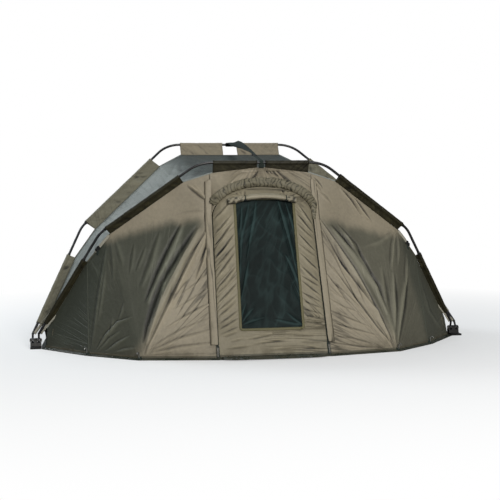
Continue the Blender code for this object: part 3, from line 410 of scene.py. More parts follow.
def skin(name, places, wrap=False, caps=False, **marks):
    """Quads over a grid of points; wrap closes each row and caps close the ends."""
    rows, cols = places.shape[:2]
    index = np.arange(rows * cols).reshape(rows, cols)
    around = np.concatenate([index, index[:, :1]], 1) if wrap else index
    quads = np.stack([around[:-1, :-1], around[:-1, 1:], around[1:, 1:], around[1:, :-1]], -1)
    faces = quads.reshape(-1, 4).tolist()
    if caps:
        faces += [index[0][::-1].tolist(), index[-1].tolist()]
    mesh = bpy.data.meshes.new(name)
    mesh.from_pydata(places.reshape(-1, 3).tolist(), [], faces)
    closed = np.concatenate([places, places[:, :1]], 1) if wrap else places
    u = np.append(0.0, np.linalg.norm(np.diff(closed, axis=1), axis=2).mean(0).cumsum())
    v = np.append(0.0, np.linalg.norm(np.diff(places, axis=0), axis=2).mean(1).cumsum())
    grid = np.stack(np.meshgrid(v, u, indexing="ij"), -1)[..., ::-1]
    corners = np.stack([grid[:-1, :-1], grid[:-1, 1:], grid[1:, 1:], grid[1:, :-1]], 2)
    flat = corners.reshape(-1, 2)
    layer = mesh.uv_layers.new(name="cloth")
    whole = np.zeros((len(mesh.loops), 2), np.float32)
    whole[:len(flat)] = flat
    layer.data.foreach_set("uv", whole.ravel())
    marks.setdefault("grain", np.dstack([grid[:, :cols], np.zeros((rows, cols))]))
    for label, values in marks.items():
        mark(mesh, label, values)
    mesh.shade_smooth()
    mesh.validate()
    return placed(name, mesh)


def settle(obj):
    """Applies the modifiers, so that the piece is a plain mesh."""
    graph = bpy.context.evaluated_depsgraph_get()
    mesh = bpy.data.meshes.new_from_object(obj.evaluated_get(graph))
    obj.modifiers.clear()
    obj.data = mesh
    return obj


def reworked(obj, change):
    """Makes a change to the faces of a piece."""
    bm = bmesh.new()
    bm.from_mesh(obj.data)
    bm.faces.ensure_lookup_table()
    change(bm)
    bm.to_mesh(obj.data)
    bm.free()
    return obj


def outward(obj):
    """Turns every face of a closed piece outwards."""
    return reworked(obj, lambda bm: bmesh.ops.recalc_face_normals(bm, faces=bm.faces))


def thickened(obj, thickness):
    """Gives a sheet its thickness, behind its faces."""
    shell = obj.modifiers.new("cloth", "SOLIDIFY")
    shell.thickness = thickness
    shell.offset = -1.0
    return settle(obj)


def cloth(name, places, thickness=CLOTH, hole=None, **marks):
    """Sheet of cloth over a grid, thickened on the cabin side; cells that hole marks stay open."""
    normal = np.cross(places[1:, :-1] - places[:-1, :-1], places[:-1, 1:] - places[:-1, :-1])
    # the faces run across first, so they face against this product
    if (normal * (places[:-1, :-1] - CABIN)).sum() > 0:
        places = places[::-1]
        hole = None if hole is None else hole[::-1]
        marks = {label: values[::-1] for label, values in marks.items()}
    obj = skin(name, places, **marks)
    if hole is not None:
        open_cells = np.flatnonzero(hole.ravel())
        reworked(obj, lambda bm: bmesh.ops.delete(
            bm, geom=[bm.faces[i] for i in open_cells], context="FACES"))
    return thickened(obj, thickness)


def shell_of(obj, middle):
    """Gives an open tube of cloth its thickness, on the inner side."""
    middle = Vector(middle)

    def face_out(bm):
        near = sorted(bm.faces, key=lambda f: (f.calc_center_median() - middle).length)[:60]
        if sum(f.normal.dot(f.calc_center_median() - middle) for f in near) < 0:
            bmesh.ops.reverse_faces(bm, faces=bm.faces)

    return thickened(reworked(obj, face_out), 0.0010)


def sweep(name, path, section, up, caps=True, **marks):
    """Skin along a path over cross-sections of (sideways, up) offsets."""
    path = np.asarray(path, float)
    section = np.broadcast_to(section, (len(path),) + np.shape(section)[-2:])
    along = unit(np.gradient(path, axis=0))
    across = unit(np.cross(along, np.broadcast_to(up, path.shape)))
    lift = unit(np.cross(across, along))
    places = path[:, None] + across[:, None] * section[..., :1] + lift[:, None] * section[..., 1:]
    return skin(name, places, True, caps, **marks)


def tube(name, path, radius, up=(0.0, 0.0, 1.0), squash=1.0):
    turn = np.linspace(0, 2 * math.pi, 20, endpoint=False)
    ring = np.stack([np.cos(turn), squash * np.sin(turn)], -1)
    section = ring * np.broadcast_to(radius, (len(path),))[:, None, None]
    return outward(sweep(name, path, section, up))


def strip(name, path, up, width, thickness):
    """Flat band of webbing or tape along a path, with softened edges."""
    half, deep = width / 2, thickness / 2
    edge = min(deep, half) * 0.8
    section = np.array([(-half, -deep + edge), (-half + edge, -deep), (half - edge, -deep),
                        (half, -deep + edge), (half, deep - edge), (half - edge, deep),
                        (0.0, deep * 1.15), (-half + edge, deep), (-half, deep - edge)])
    return outward(sweep(name, path, section, up))


def joined(name, pieces):
    """Several pieces of one body as one object."""
    with bpy.context.temp_override(active_object=pieces[0], selected_editable_objects=pieces):
        bpy.ops.object.join()
    pieces[0].name = name
    return pieces[0]


def turned(name, profile, place, axis):
    """Turned piece from (radius, height) points along an axis."""
    axis = unit(np.asarray(axis, float))
    side = unit(np.cross(axis, (0.3, 0.5, 0.8)))
    other = np.cross(axis, side)
    turn = np.linspace(0, 2 * math.pi, 24, endpoint=False)
    rim = np.cos(turn)[:, None] * side + np.sin(turn)[:, None] * other
    rows = [np.asarray(place) + rim * max(r, 1e-5) + axis * h for r, h in profile]
    return outward(skin(name, np.array(rows), wrap=True, caps=True))


# Nodes, and sums of shader sockets

def add_node(tree, kind, settings=None, values=None):
    """Adds a node; values are numbers or sockets to link, by input name or number."""
    made = tree.nodes.new(kind)
    for key, value in (settings or {}).items():
        setattr(made, key, value)
    for key, value in (values or {}).items():
        if isinstance(value, bpy.types.NodeSocket):
            tree.links.new(value, made.inputs[key])
        else:
            made.inputs[key].default_value = value
    return made.outputs


class Value:
    """A shader socket that takes part in sums as a number does."""

    def __init__(self, paint, socket):
        self.paint = paint
        self.socket = socket

    def __add__(self, other):
        return self.paint.maths("ADD", self, other)

    def __sub__(self, other):
        return self.paint.maths("SUBTRACT", self, other)

    def __rsub__(self, other):
        return self.paint.maths("SUBTRACT", other, self)

    def __mul__(self, other):
        return self.paint.maths("MULTIPLY", self, other)

    def __pow__(self, other):
        return self.paint.maths("POWER", self, other)

    __radd__ = __add__

    def sine(self):
        return self.paint.maths("SINE", self)

    def bounded(self, low, high):
        """0 below low, 1 above high and straight between."""
        spread = self.paint.node("ShaderNodeMapRange", {"clamp": True},
                                 {0: self, 1: low, 2: high, 3: 0.0, 4: 1.0})
        return spread[0]


class Paint:
    """One procedural finish on a Principled shader."""

    def __init__(self, name, **fixed):
        self.material = bpy.data.materials.new(name)
        self.material.use_nodes = True
        self.tree = self.material.node_tree
        self.shader = self.tree.nodes["Principled BSDF"]
        for socket, value in fixed.items():
            self.shader.inputs[socket.replace("_", " ")].default_value = value
        self.place = self.node("ShaderNodeTexCoord")[3]

    def node(self, kind, settings=None, values=None):
        """Adds a node to the finish, with Values for its sockets."""
        plain = {key: getattr(value, "socket", value) for key, value in (values or {}).items()}
        return [Value(self, socket) for socket in add_node(self.tree, kind, settings, plain)]

    def maths(self, operation, first, second=None):
        values = {0: first} if second is None else {0: first, 1: second}
        return self.node("ShaderNodeMath", {"operation": operation}, values)[0]

    def split(self, vector):
        return self.node("ShaderNodeSeparateXYZ", None, {0: vector})

    def threads(self):
        """How far across and along its cloth a point lies."""
        return self.split(self.node("ShaderNodeUVMap", {"uv_map": "cloth"})[0])

    def weave(self, pitch):
        """Waves of yarns that cross."""
        turn = 2 * math.pi / pitch
        across, along = self.threads()[:2]
        return (across * turn).sine() * (along * turn).sine()

    def noise(self, scale, detail, rough, vector=None):
        return self.node("ShaderNodeTexNoise", None, {
            "Vector": vector or self.place, "Scale": scale, "Detail": detail,
            "Roughness": rough})[0]

    def strands(self, scale, detail, rough, stretch):
        """Noise that is drawn out along the cloth's grain."""
        grain = self.node("ShaderNodeAttribute", {"attribute_name": "grain"})[1]
        drawn = self.node("ShaderNodeVectorMath", {"operation": "MULTIPLY"},
                          {0: grain, 1: (1.0, stretch, 1.0)})[0]
        return self.noise(scale, detail, rough, drawn)

    def thin_lines(self, strands, sharpness, most):
        """Lines where the strands pass their middle value."""
        away = self.maths("ABSOLUTE", strands - 0.5)
        return (1 - away * sharpness).bounded(0.0, most)

    def named(self, attribute):
        return self.node("ShaderNodeAttribute", {"attribute_name": attribute})[2]

    def scaled(self, colour, share):
        return self.node("ShaderNodeVectorMath", {"operation": "SCALE"},
                         {0: colour, "Scale": share})[0]

    def mixed(self, mask, first, second):
        """Colour that goes from the first to the second with the mask."""
        return self.node("ShaderNodeMix", {"data_type": "RGBA"},
                         {0: mask, 6: as_colour(first), 7: as_colour(second)})[2]

    def wear(self, socket, value):
        """Feeds a worked-out value into the shader."""
        self.tree.links.new(value.socket, self.shader.inputs[socket])

    def finished(self, colour, roughness, height, distance, strength):
        """The material, with its colour, roughness and relief."""
        self.wear("Base Color", colour)
        self.wear("Roughness", roughness)
        self.wear("Normal", self.node("ShaderNodeBump", None, {
            "Height": height, "Distance": distance, "Strength": strength})[0])
        return self.material


MUD = (0.055, 0.048, 0.030)
WET_MUD = (0.070, 0.062, 0.040)
DUST = (0.030, 0.028, 0.022)
RUST = (0.08, 0.05, 0.03)


def as_colour(value):
    return value if isinstance(value, Value) else (*value, 1.0)


def shaded(colour, share):
    return tuple(min(1.0, c * share) for c in colour)


def cloth_paint(name, colour, damp=(0.040, 0.046, 0.034), rough=0.56, dirt=0.6, coarse=1.0,
                gloss=0.38, lined=1.0, crest_highlight=0.20):
    """Coated woven cloth: weave, fading, creases along its grain, mud low down, painted shade and
    highlights.
    """
    paint = Paint(name, Specular_IOR_Level=gloss)
    patches = paint.noise(2.3, 4.0, 0.55)
    fine = paint.noise(60.0, 3.0, 0.6)
    crinkle = paint.noise(28.0 / coarse, 4.0, 0.62)
    # thin dark lines along the grain: painted shade in fine creases, turning to painted highlights
    # on the painted-shade facets
    crease_line_patches = paint.noise(3.1, 2.0, 0.5).bounded(0.42, 0.60)
    wander = paint.strands(30.0 / coarse, 1.0, 0.4, 0.07)
    line = paint.thin_lines(wander, 20.0, 0.8) * crease_line_patches * lined
    line = line * (1 - paint.named("calm"))
    # fold crests get a painted highlight and fold valleys painted shade
    ridge = paint.named("ridge")
    crest = ridge.bounded(0.08, 1.0)
    valley = (0 - ridge).bounded(0.08, 0.75)
    # share of painted shade where the cloth turns from the light: it darkens the colour and
    # strengthens the painted highlight on crests
    painted_shade_share = paint.named("damp")
    tone = paint.mixed(painted_shade_share, colour, damp)
    bright = 0.87 + patches.bounded(0.30, 0.72) * 0.24
    bright = bright - fine.bounded(0.35, 0.75) * 0.14 + crinkle * 0.10
    bright = bright + crest * (crest_highlight + painted_shade_share * 0.80) - valley * 0.72 - line * (0.58 - painted_shade_share * 1.00)
    tone = paint.scaled(tone, bright)
    height = paint.split(paint.place)[2]
    mud = (1 - height.bounded(0.015, 0.10)) * paint.noise(9.0, 5.0, 0.6).bounded(0.42, 0.62)
    tone = paint.mixed(mud * dirt, tone, MUD)
    dull = rough + fine * 0.10 - patches * 0.05 - painted_shade_share * 0.06 + mud * 0.15
    folds = crinkle * 0.6 + wander * 1.1 - line * 0.9
    folds = folds + paint.weave(YARN_PITCH) * 0.05 + fine * 0.12
    return paint.finished(tone, dull, folds, 0.0021 * coarse, 0.9)


def net_paint(name, colour):
    """Dark mesh window under a film, with a painted sheen along its folds and in streaks."""
    paint = Paint(name, Specular_IOR_Level=0.05)
    haze = paint.noise(5.0, 3.0, 0.5)
    line = paint.thin_lines(paint.strands(26.0, 2.0, 0.5, 0.16), 12.0, 1.0)
    bright = 0.60 + haze.bounded(0.3, 0.7) * 0.4
    # painted sheen on the fold crests and in streaks along the grain
    bright = bright + paint.named("ridge").bounded(0.20, 1.0) * 1.7 + line * haze * 1.3
    relief = paint.weave(NET_PITCH) * 0.2 + paint.noise(30.0, 3.0, 0.6) + line * 0.8
    return paint.finished(paint.scaled(colour, bright), 0.36 + haze * 0.14, relief, 0.0010, 0.5)


def pole_paint(name):
    """Satin black paint, with fine scuffs along the tube."""
    paint = Paint(name, Specular_IOR_Level=0.5)
    scuffs = paint.noise(90.0, 2.0, 0.5).bounded(0.60, 0.75)
    haze = paint.noise(14.0, 4.0, 0.5)
    tone = paint.mixed(scuffs * 0.5, (0.011, 0.011, 0.012), (0.050, 0.050, 0.048))
    dull = 0.30 + haze * 0.18 + scuffs * 0.15
    return paint.finished(tone, dull, paint.noise(400.0, 2.0, 0.5), 0.00006, 0.4)


def plastic_paint(name, colour):
    """Moulded plastic with a fine grain, a little dust and worn corners."""
    paint = Paint(name, Specular_IOR_Level=0.20)
    dust = paint.noise(22.0, 4.0, 0.6).bounded(0.50, 0.75)
    tone = paint.mixed(dust * 0.20, colour, DUST)
    grain = paint.noise(500.0, 2.0, 0.5)
    return paint.finished(tone, 0.42 + dust * 0.25, grain, 0.00012, 0.5)


def steel_paint(name, dull, bright):
    """Zinc plate, with cloudy patches and small brown spots."""
    paint = Paint(name, Metallic=1.0)
    cloud = paint.noise(70.0, 4.0, 0.55)
    spots = paint.noise(160.0, 3.0, 0.5).bounded(0.64, 0.74)
    tone = paint.mixed(cloud.bounded(0.3, 0.7), dull, bright)
    tone = paint.mixed(spots * 0.6, tone, RUST)
    return paint.finished(tone, 0.38 + cloud * 0.20 + spots * 0.2, cloud, 0.0001, 0.3)


def webbing_paint(name, colour):
    """Woven tape: ribs across and a herringbone of yarns."""
    paint = Paint(name, Specular_IOR_Level=0.12)
    threads = paint.threads()
    zigzag = (threads[0] * (2 * math.pi / 0.006)).sine()
    ribs = (threads[1] * (2 * math.pi / RIB_PITCH) + zigzag).sine()
    fuzz = paint.noise(120.0, 3.0, 0.6)
    mask = ribs.bounded(-1.0, 1.0) * 0.5 + fuzz * 0.3
    tone = paint.mixed(mask, shaded(colour, 0.65), shaded(colour, 1.5))
    return paint.finished(tone, 0.72 + fuzz * 0.2, ribs * 0.5 + fuzz * 0.4, 0.0004, 0.6)


def ground_paint(name, colour):
    """Glossy coated groundsheet with wet mud smears."""
    paint = Paint(name, Specular_IOR_Level=0.5)
    smear = paint.noise(7.0, 5.0, 0.6).bounded(0.45, 0.70)
    tone = paint.mixed(smear * 0.7, colour, WET_MUD)
    return paint.finished(tone, 0.26 + smear * 0.35, paint.noise(22.0, 4.0, 0.6), 0.003, 0.6)


TAN = (0.232, 0.204, 0.148)
# door cloth: its own tone, darker than the panel partly as painted shade of its many creases
DOOR_TAN = (0.196, 0.174, 0.119)
HOOD_TAN = (0.128, 0.116, 0.077)
SLEEVE_TAN = (0.225, 0.196, 0.138)
# roof: the panel's cloth, turned grey-blue as a painted reflection of the sky
ROOF_SKY_REFLECTION_GREY = (0.225, 0.243, 0.228)
# rear leg and side sleeves: the rear sleeve cloth darkened as painted shade, for they face away
# from the light
SHADED_SLEEVE_OLIVE = (0.140, 0.132, 0.092)
DARK_SLEEVE = (0.019, 0.017, 0.008)
# front crown sleeves: a little lighter than the other front sleeves, as painted light where they
# face up
CROWN_SLEEVE = (0.024, 0.022, 0.013)
OLIVE_TAPE = (0.100, 0.092, 0.040)

PANEL = cloth_paint("panel_cloth", TAN)
DOOR = cloth_paint("door_cloth", DOOR_TAN)
HOOD = cloth_paint("hood_cloth", HOOD_TAN, lined=0.5)
# the roof's grey is a painted reflection of the sky; its third colour is the painted shade on the
# top of the roof
ROOF = cloth_paint("roof_cloth", ROOF_SKY_REFLECTION_GREY, (0.030, 0.038, 0.035), rough=0.52, coarse=1.6,
                   dirt=0.3, gloss=0.16, lined=0.3)
REAR_CROWN = cloth_paint("rear_crown_cloth", SLEEVE_TAN, dirt=0.3, coarse=1.2, lined=0.4)
# painted shade: the rear leg and side sleeves get a darker copy of the rear sleeve cloth
REAR_SLEEVE = cloth_paint("rear_sleeve_cloth", SHADED_SLEEVE_OLIVE, dirt=0.3, coarse=1.2, lined=0.4)
# front sleeves: dark cloth, with a strong painted sheen on their wrinkle crests
FRONT_SLEEVE = cloth_paint("front_sleeve_cloth", DARK_SLEEVE, rough=0.50, dirt=0.3, coarse=1.2,
                           gloss=0.2, crest_highlight=1.1)
FRONT_CROWN = cloth_paint("front_crown_cloth", CROWN_SLEEVE, rough=0.50, dirt=0.0, coarse=1.2,
                          gloss=0.2, crest_highlight=0.9)
COVER = cloth_paint("cover_cloth", (0.225, 0.203, 0.145), rough=0.46, dirt=0.0)
BINDING = cloth_paint("binding_tape", OLIVE_TAPE, dirt=0.4, lined=0.0)
HEM_TAPE = cloth_paint("hem_tape", (0.085, 0.080, 0.055), dirt=0.9, lined=0.0)
# wing seam tape in the colour of the painted shade on the wing's outer facets
SHADED_SEAM_TAPE = cloth_paint("damp_tape", (0.056, 0.062, 0.046), dirt=0.9, lined=0.0)
NET = net_paint("window_net", (0.0085, 0.0150, 0.0148))
POLE = pole_paint("pole_paint")
PLASTIC = plastic_paint("hub_plastic", (0.010, 0.010, 0.010))
STEEL = steel_paint("steel", (0.20, 0.20, 0.19), (0.30, 0.30, 0.29))
DARK_ZINC = steel_paint("dark_zinc", (0.045, 0.044, 0.040), (0.090, 0.088, 0.080))
WEBBING = webbing_paint("webbing", (0.022, 0.030, 0.026))
PALE_WEBBING = webbing_paint("pale_webbing", (0.300, 0.290, 0.240))
GROUND = ground_paint("sheet_pvc", (0.022, 0.026, 0.018))
THREAD = webbing_paint("thread", (0.120, 0.108, 0.070))

# Cloth that hangs between two bodies stays unparented: both bodies, and where it would follow each
# one wholly (unused)
BLENDS = {
    "roof": ("rear_hoop", "front_hoop", (0.0, 0.50, 0.0), (0.0, -0.26, 0.0)),
    "back": ("root", "rear_hoop", (0.0, 1.43, 0.0), (0.0, 0.85, 1.25)),
    "strap": ("rear_hoop", "front_hoop", (0.0, 0.881, 1.374), (0.0, -0.394, 1.207))}


def dress(obj, material, body, stands_for=()):
    """Gives a piece its finish and its body, and hides the frame's nodes that it stands for."""
    painted(obj, material)
    if body in BLENDS:
        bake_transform(obj)
    else:
        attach(obj, body)
    # the frame's materials hold the same names, so Blender numbers these
    kind = material.name.split(".")[0]
    if stands_for:
        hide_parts(*stands_for)
    return obj


# Each tape and strap: width, thickness and finish
TAPES = {
    "roof_seam": (0.016, 0.0014, ROOF), "rear_seam": (0.016, 0.0014, PANEL),
    "wing_seam": (0.010, 0.0008, SHADED_SEAM_TAPE), "front_hem": (0.018, 0.0016, HEM_TAPE),
    "rear_hem": (0.022, 0.0018, HEM_TAPE), "door_hem": (0.020, 0.0018, HEM_TAPE),
    "vent_lip": (0.020, 0.0030, BINDING), "window_binding": (0.016, 0.0030, BINDING),
    "elbow_binding": (0.012, 0.0042, HEM_TAPE), "shoulder_binding": (0.012, 0.0042, ROOF),
    "zip_tape": (0.024, 0.0016, WEBBING), "cover_tie": (0.006, 0.0018, WEBBING),
    "header_tab": (0.034, 0.0020, WEBBING), "foot_tab": (0.022, 0.0020, PALE_WEBBING),
    "peg_loop": (0.012, 0.0016, WEBBING), "elbow_strap": (0.018, 0.0018, PALE_WEBBING),
    "elbow_strap_end": (0.016, 0.0018, WEBBING)}


def ribbon(name, tape, path, up, body, stands_for=()):
    """A finished tape or strap along a path."""
    width, thickness, material = TAPES[tape]
    return dress(strip(name, path, up, width, thickness), material, body, stands_for)


# Stitches, zip teeth and other rows of small items

def row_of_items():
    """Node tree that sets small boxes along a line, turned with it."""
    tree = bpy.data.node_groups.new("row_of_items", "GeometryNodeTree")
    inputs = {"Line": "Geometry", "Spacing": "Float", "Length": "Float", "Width": "Float",
              "Height": "Float", "Finish": "Material"}
    for name, kind in inputs.items():
        tree.interface.new_socket(name, in_out="INPUT", socket_type=f"NodeSocket{kind}")
    tree.interface.new_socket("Items", in_out="OUTPUT", socket_type="NodeSocketGeometry")

    def add(kind, settings=None, **values):
        return add_node(tree, kind, settings, values)

    given = add("NodeGroupInput")
    curve = add("GeometryNodeMeshToCurve", Mesh=given["Line"])
    spread = add("GeometryNodeResampleCurve", {"mode": "LENGTH"}, Curve=curve["Curve"],
                 Length=given["Spacing"])
    tangent = add("GeometryNodeInputTangent")
    lift = add("GeometryNodeInputNamedAttribute", {"data_type": "FLOAT_VECTOR"}, Name="lift")
    first = add("FunctionNodeAlignRotationToVector", {"axis": "X"}, Vector=tangent["Tangent"])
    second = add("FunctionNodeAlignRotationToVector", {"axis": "Z", "pivot_axis": "X"},
                 Rotation=first["Rotation"], Vector=lift["Attribute"])
    size = add("ShaderNodeCombineXYZ", X=given["Length"], Y=given["Width"], Z=given["Height"])
    item = add("GeometryNodeMeshCube", Size=size["Vector"])
    spots = add("GeometryNodeInstanceOnPoints", Points=spread["Curve"], Instance=item["Mesh"],
                Rotation=second["Rotation"])
    real = add("GeometryNodeRealizeInstances", Geometry=spots["Instances"])
    paint = add("GeometryNodeSetMaterial", Geometry=real["Geometry"], Material=given["Finish"])
    add("NodeGroupOutput", Items=paint["Geometry"])
    return tree


ROW_TREE = row_of_items()


def items_along(name, line, lift, spacing, size, material):
    """Small boxes set along a line of points; lift says which way their tops face."""
    mesh = bpy.data.meshes.new(name)
    edges = [(i, i + 1) for i in range(len(line) - 1)]
    mesh.from_pydata(np.asarray(line).tolist(), edges, [])
    mark(mesh, "lift", np.broadcast_to(lift, np.shape(line)))
    obj = placed(name, mesh)
    rows = obj.modifiers.new("row", "NODES")
    rows.node_group = ROW_TREE
    length, width, height = size
    values = {"Spacing": spacing, "Length": length, "Width": width, "Height": height,
              "Finish": material}
    for socket in ROW_TREE.interface.items_tree:
        if socket.name in values:
            rows[socket.identifier] = values[socket.name]
    return settle(obj)


def stitches(name, line, lift, body):
    row = items_along(name, line, lift, STITCH_PITCH, STITCH, THREAD)
    return dress(row, THREAD, body)


# Cloth pieces

def quad_area(places):
    first = places[1:, 1:] - places[:-1, :-1]
    second = places[1:, :-1] - places[:-1, 1:]
    return np.linalg.norm(np.cross(first, second), axis=-1).sum() / 2


def cut_cloth(places, area=None):
    """Works out the area of a sheet's smooth grid, before its wrinkles; nothing uses it."""
    area = quad_area(places) if area is None else area


def plain_sheet(name, places, material, body, held, rests_on, stands_for=(), **marks):
    """A finished sheet that was cut just as its grid lies."""
    obj = dress(cloth(name, places, **marks), material, body, stands_for)
    cut_cloth(places)


def hoop_stations():
    """Length along the canopy from mid crown to each corner, a mean of both hoops."""
    k = np.arange(5, -1, -1)
    steps = [np.linalg.norm(np.diff(h.edge(1, k), axis=0), axis=1) for h in (FRONT, REAR)]
    return np.concatenate(([0.0], np.cumsum(sum(steps) / 2)))


STATIONS = hoop_stations()


def station(q):
    return np.sign(q) * np.interp(np.abs(q), range(6), STATIONS)


def count(s):
    return np.sign(s) * np.interp(np.abs(s), STATIONS, range(6))


def roof_base(q, t):
    """Point of the roof, q from the left foot (-5) to the right one (5), t from front to rear."""
    q, t = np.broadcast_arrays(np.asarray(q, float), np.asarray(t, float))
    side = np.where(q < 0, -1.0, 1.0)
    k = 5 - np.abs(q)
    middle = (FRONT.edge(side, k) + REAR.edge(side, k)) / 2
    reach = CABIN_HALF_WIDTH * np.minimum(1.0, k / 4) * np.minimum(1.0, np.abs(q) / 0.8)
    target = np.stack([side * reach, middle[..., 1] * CABIN_LEAN,
                       np.full(k.shape, CABIN_MIDDLE_Z)], -1)
    sag = mix(WALL_SAG, ROOF_SAG, ramp(1.0, 4.0, k)) * ramp(0.0, 0.8, k) * np.sin(math.pi * t)
    span = mix(FRONT.edge(side, k, SEAM_INSET), REAR.edge(side, k, -SEAM_INSET), t[..., None])
    return span + unit(target - middle) * sag[..., None]


def rear_base(q, t):
    """Point of the rear wall, q as on the roof, t from the rear hoop (0) to the hem (1)."""
    q, t = np.broadcast_arrays(np.asarray(q, float), np.asarray(t, float))
    side = np.where(q < 0, -1.0, 1.0)
    k = 5 - np.abs(q)
    turn = np.radians(np.interp(k, range(6), (4, 24, 38, 60, 72, 90)))
    x = (HUB_INNER_X - SHEET_LIP) * np.cos(turn) ** REAR_HEM_ROUNDNESS
    y = REAR_DEPTH * np.sin(turn) ** REAR_HEM_ROUNDNESS
    foot = np.stack([side * x, y, np.full(k.shape, HEM_HEIGHT)], -1)
    inward = np.stack([-side * np.cos(turn), -np.sin(turn), np.zeros(k.shape)], -1)
    sag = REAR_SAG * ramp(0.0, 1.5, k) * np.sin(math.pi * t)
    return mix(REAR.edge(side, k, SEAM_INSET), foot, t[..., None]) + inward * sag[..., None]


def eased(surface, s, t, reach=0.14):
    """The surface with its corners rounded between its two edges."""
    wide = reach * np.sin(math.pi * np.clip(t, 0, 1)) ** 0.7
    weights = {-1.0: 1, -0.5: 2, 0.0: 3, 0.5: 2, 1.0: 1}
    limit = STATIONS[-1]
    total = 0.0
    for shift, weight in weights.items():
        total = total + weight * surface(count(np.clip(s + shift * wide, -limit, limit)), t)
    return total / sum(weights.values())


def inside(t, edge=0.08):
    """1 inside a sheet and 0 at its two edges."""
    return np.minimum(1.0, t / edge) * np.minimum(1.0, (1 - t) / edge)


def build_roof():
    """One sheet from the left foot over the top to the right foot."""
    limit = STATIONS[-1]
    s, t = grid_of(np.linspace(-limit, limit, int(2 * limit / 0.012)), np.linspace(0.0, 1.0, 84))
    places = eased(roof_base, s, t)
    height = 0.0035 * bumps(s * 2.6, t * 3.0, 3)
    for side in (-1, 1):
        for k, far in ((3, 0.85), (2, 0.75), (4, 0.7)):
            start = station(side * (5 - k))
            for lean in (-0.42, -0.18, 0.12, 0.36):
                end = start + lean
                height += fold(s, t, (start, 0.01), (end, far), 0.0045, 0.030)
                height += fold(s, t, (start, 0.99), (end, 1 - far), 0.0035, 0.030)
    crumple = ridges(s * 9 + t * 3, t * 7, 5)
    height = (height + 0.0012 * crumple) * inside(t)
    # painted shade on the top of the roof, where it turns from the light
    damp = ramp(ROOF_TOP_SHADE_END, ROOF_TOP_SHADE_START, np.abs(s)) * ROOF_TOP_SHADE
    grain = np.stack([s, t, 0 * s], -1)
    # fold heights also give painted highlights on crests and painted shade in valleys
    roof = cloth("roof", raised(places, height), ridge=height / 0.012, damp=damp, grain=grain)
    dress(roof, ROOF, "roof", [
        "roof_crown", "roof_slope_left", "roof_slope_right", "roof_wall_left", "roof_wall_right"])
    for k in (2, 3):
        for side in (-1, 1):
            across = np.linspace(0.015, 0.985, 90)
            along = np.full(90, station(side * (5 - k)))
            line = eased(roof_base, along, across)
            beside = eased(roof_base, along + 0.01, across)
            up = square_to(line, beside - line, line - CABIN)
            ribbon(f"roof_seam_{k}_{side}", "roof_seam", line + up * 0.0022, up,
                                "roof")
    cut_cloth(places)


def build_rear_wall():
    """One sheet from the rear hoop down to the rear hem, pegged at both corners."""
    limit = STATIONS[-1]
    s, t = grid_of(np.linspace(-limit, limit, int(2 * limit / 0.014)), np.linspace(0.0, 1.0, 92))
    places = eased(rear_base, s, t, 0.10)
    height = 0.004 * bumps(s * 2.4, t * 3.5, 7)
    for side in (-1, 1):
        peg = station(side * 2.1)
        for top, tall in ((0.7, 0.010), (1.2, 0.012), (1.75, 0.009), (2.4, 0.010), (3.1, 0.008)):
            end = (station(side * top), 0.12)
            height += fold(s, t, (peg, 0.985), end, tall, 0.026)
        shoulder = station(side * 2.0)
        for lean in (0.10, 0.22, 0.34):
            end = (shoulder + side * lean, 0.5)
            height += fold(s, t, (shoulder, 0.01), end, 0.005, 0.022)
    crumple = ridges(s * 10 - t * 4, t * 9, 9)
    height = (height + 0.0016 * crumple) * inside(t, 0.05)
    grain = np.stack([s, 2.2 * t, 0 * s], -1)
    # fold heights also give painted highlights on crests and painted shade in valleys
    wall = cloth("rear_wall", raised(places, height), ridge=height / 0.012, grain=grain,
                 calm=0.6 + 0 * s)
    dress(wall, PANEL, "back", ["rear_wall_left", "rear_wall_centre", "rear_wall_right"])
    for name, k in (("left", -2.03), ("right", 2.03)):
        line = eased(rear_base, np.full(90, station(k)), np.linspace(0.01, 0.99, 90), 0.10)
        up = unit(line * (1, 1, 0) - np.array((0.0, 0.1, 0.0)))
        ribbon(f"rear_seam_{name}", "rear_seam", line + up * 0.003, up, "back")
    low = rear_base(np.linspace(-4.98, 4.98, 240), np.full(240, 0.995))
    away = low * (1, 1, 0)
    ribbon("rear_hem_tape", "rear_hem", low + unit(away) * 0.002,
                        unit(away + (0, 0, 1e-6)), "root")
    cut_cloth(places)


def build_vent():
    """Vent hood at the back: an awning with a stiff lip over a mesh opening."""
    pitch = math.radians(20.0)
    out = np.array((0.0, math.cos(pitch), math.sin(pitch)))
    span = REAR.corners[4, 0]
    share, across = grid_of(np.linspace(0.0, 1.0, 30), np.linspace(-1.0, 1.0, 60))
    base = rear_base(across * VENT_WIDTH / 2 / span, mix(VENT_TOP, VENT_BOTTOM, share))
    swell = VENT_BULGE * np.sin(share * math.pi / 2) * (1 - across ** 4)
    places = base + out * (0.006 + swell)[..., None]
    crumple = ridges(across * 5, share * 4, 4)
    # crumple crests get a painted highlight
    hood = cloth("rear_vent", raised(places, 0.0015 * crumple * inside(share)), ridge=crumple)
    dress(hood, PANEL, "back", ["rear_vent_hood"])
    lip = ribbon("rear_vent_lip", "vent_lip", places[-1] + out * 0.001, out, "back")
    low = mix(VENT_TOP + 0.03, VENT_BOTTOM - 0.01, share)
    grid = rear_base(across * VENT_WIDTH / 2.3 / span, low)
    mesh = cloth("rear_vent_mesh", grid + out * 0.0042)
    dress(mesh, NET, "back")
    cut_cloth(places)
    cut_cloth(grid)


# Front panel

def front_edge(k, back=-SEAM_INSET):
    return FRONT.edge(1.0, k, back)


ZIP_TOP = front_edge(4) + np.array((SEAM_INSET, 0.0, 0.0))


def zip_line(side, z):
    """Points of the door zip at some heights."""
    z = np.asarray(z, float)
    route = np.array([DOOR_FOOT, KNEE, ZIP_TOP])
    x, y = (np.interp(z, route[:, 2], route[:, i]) for i in (0, 1))
    return np.stack([side * x, y, z], -1)


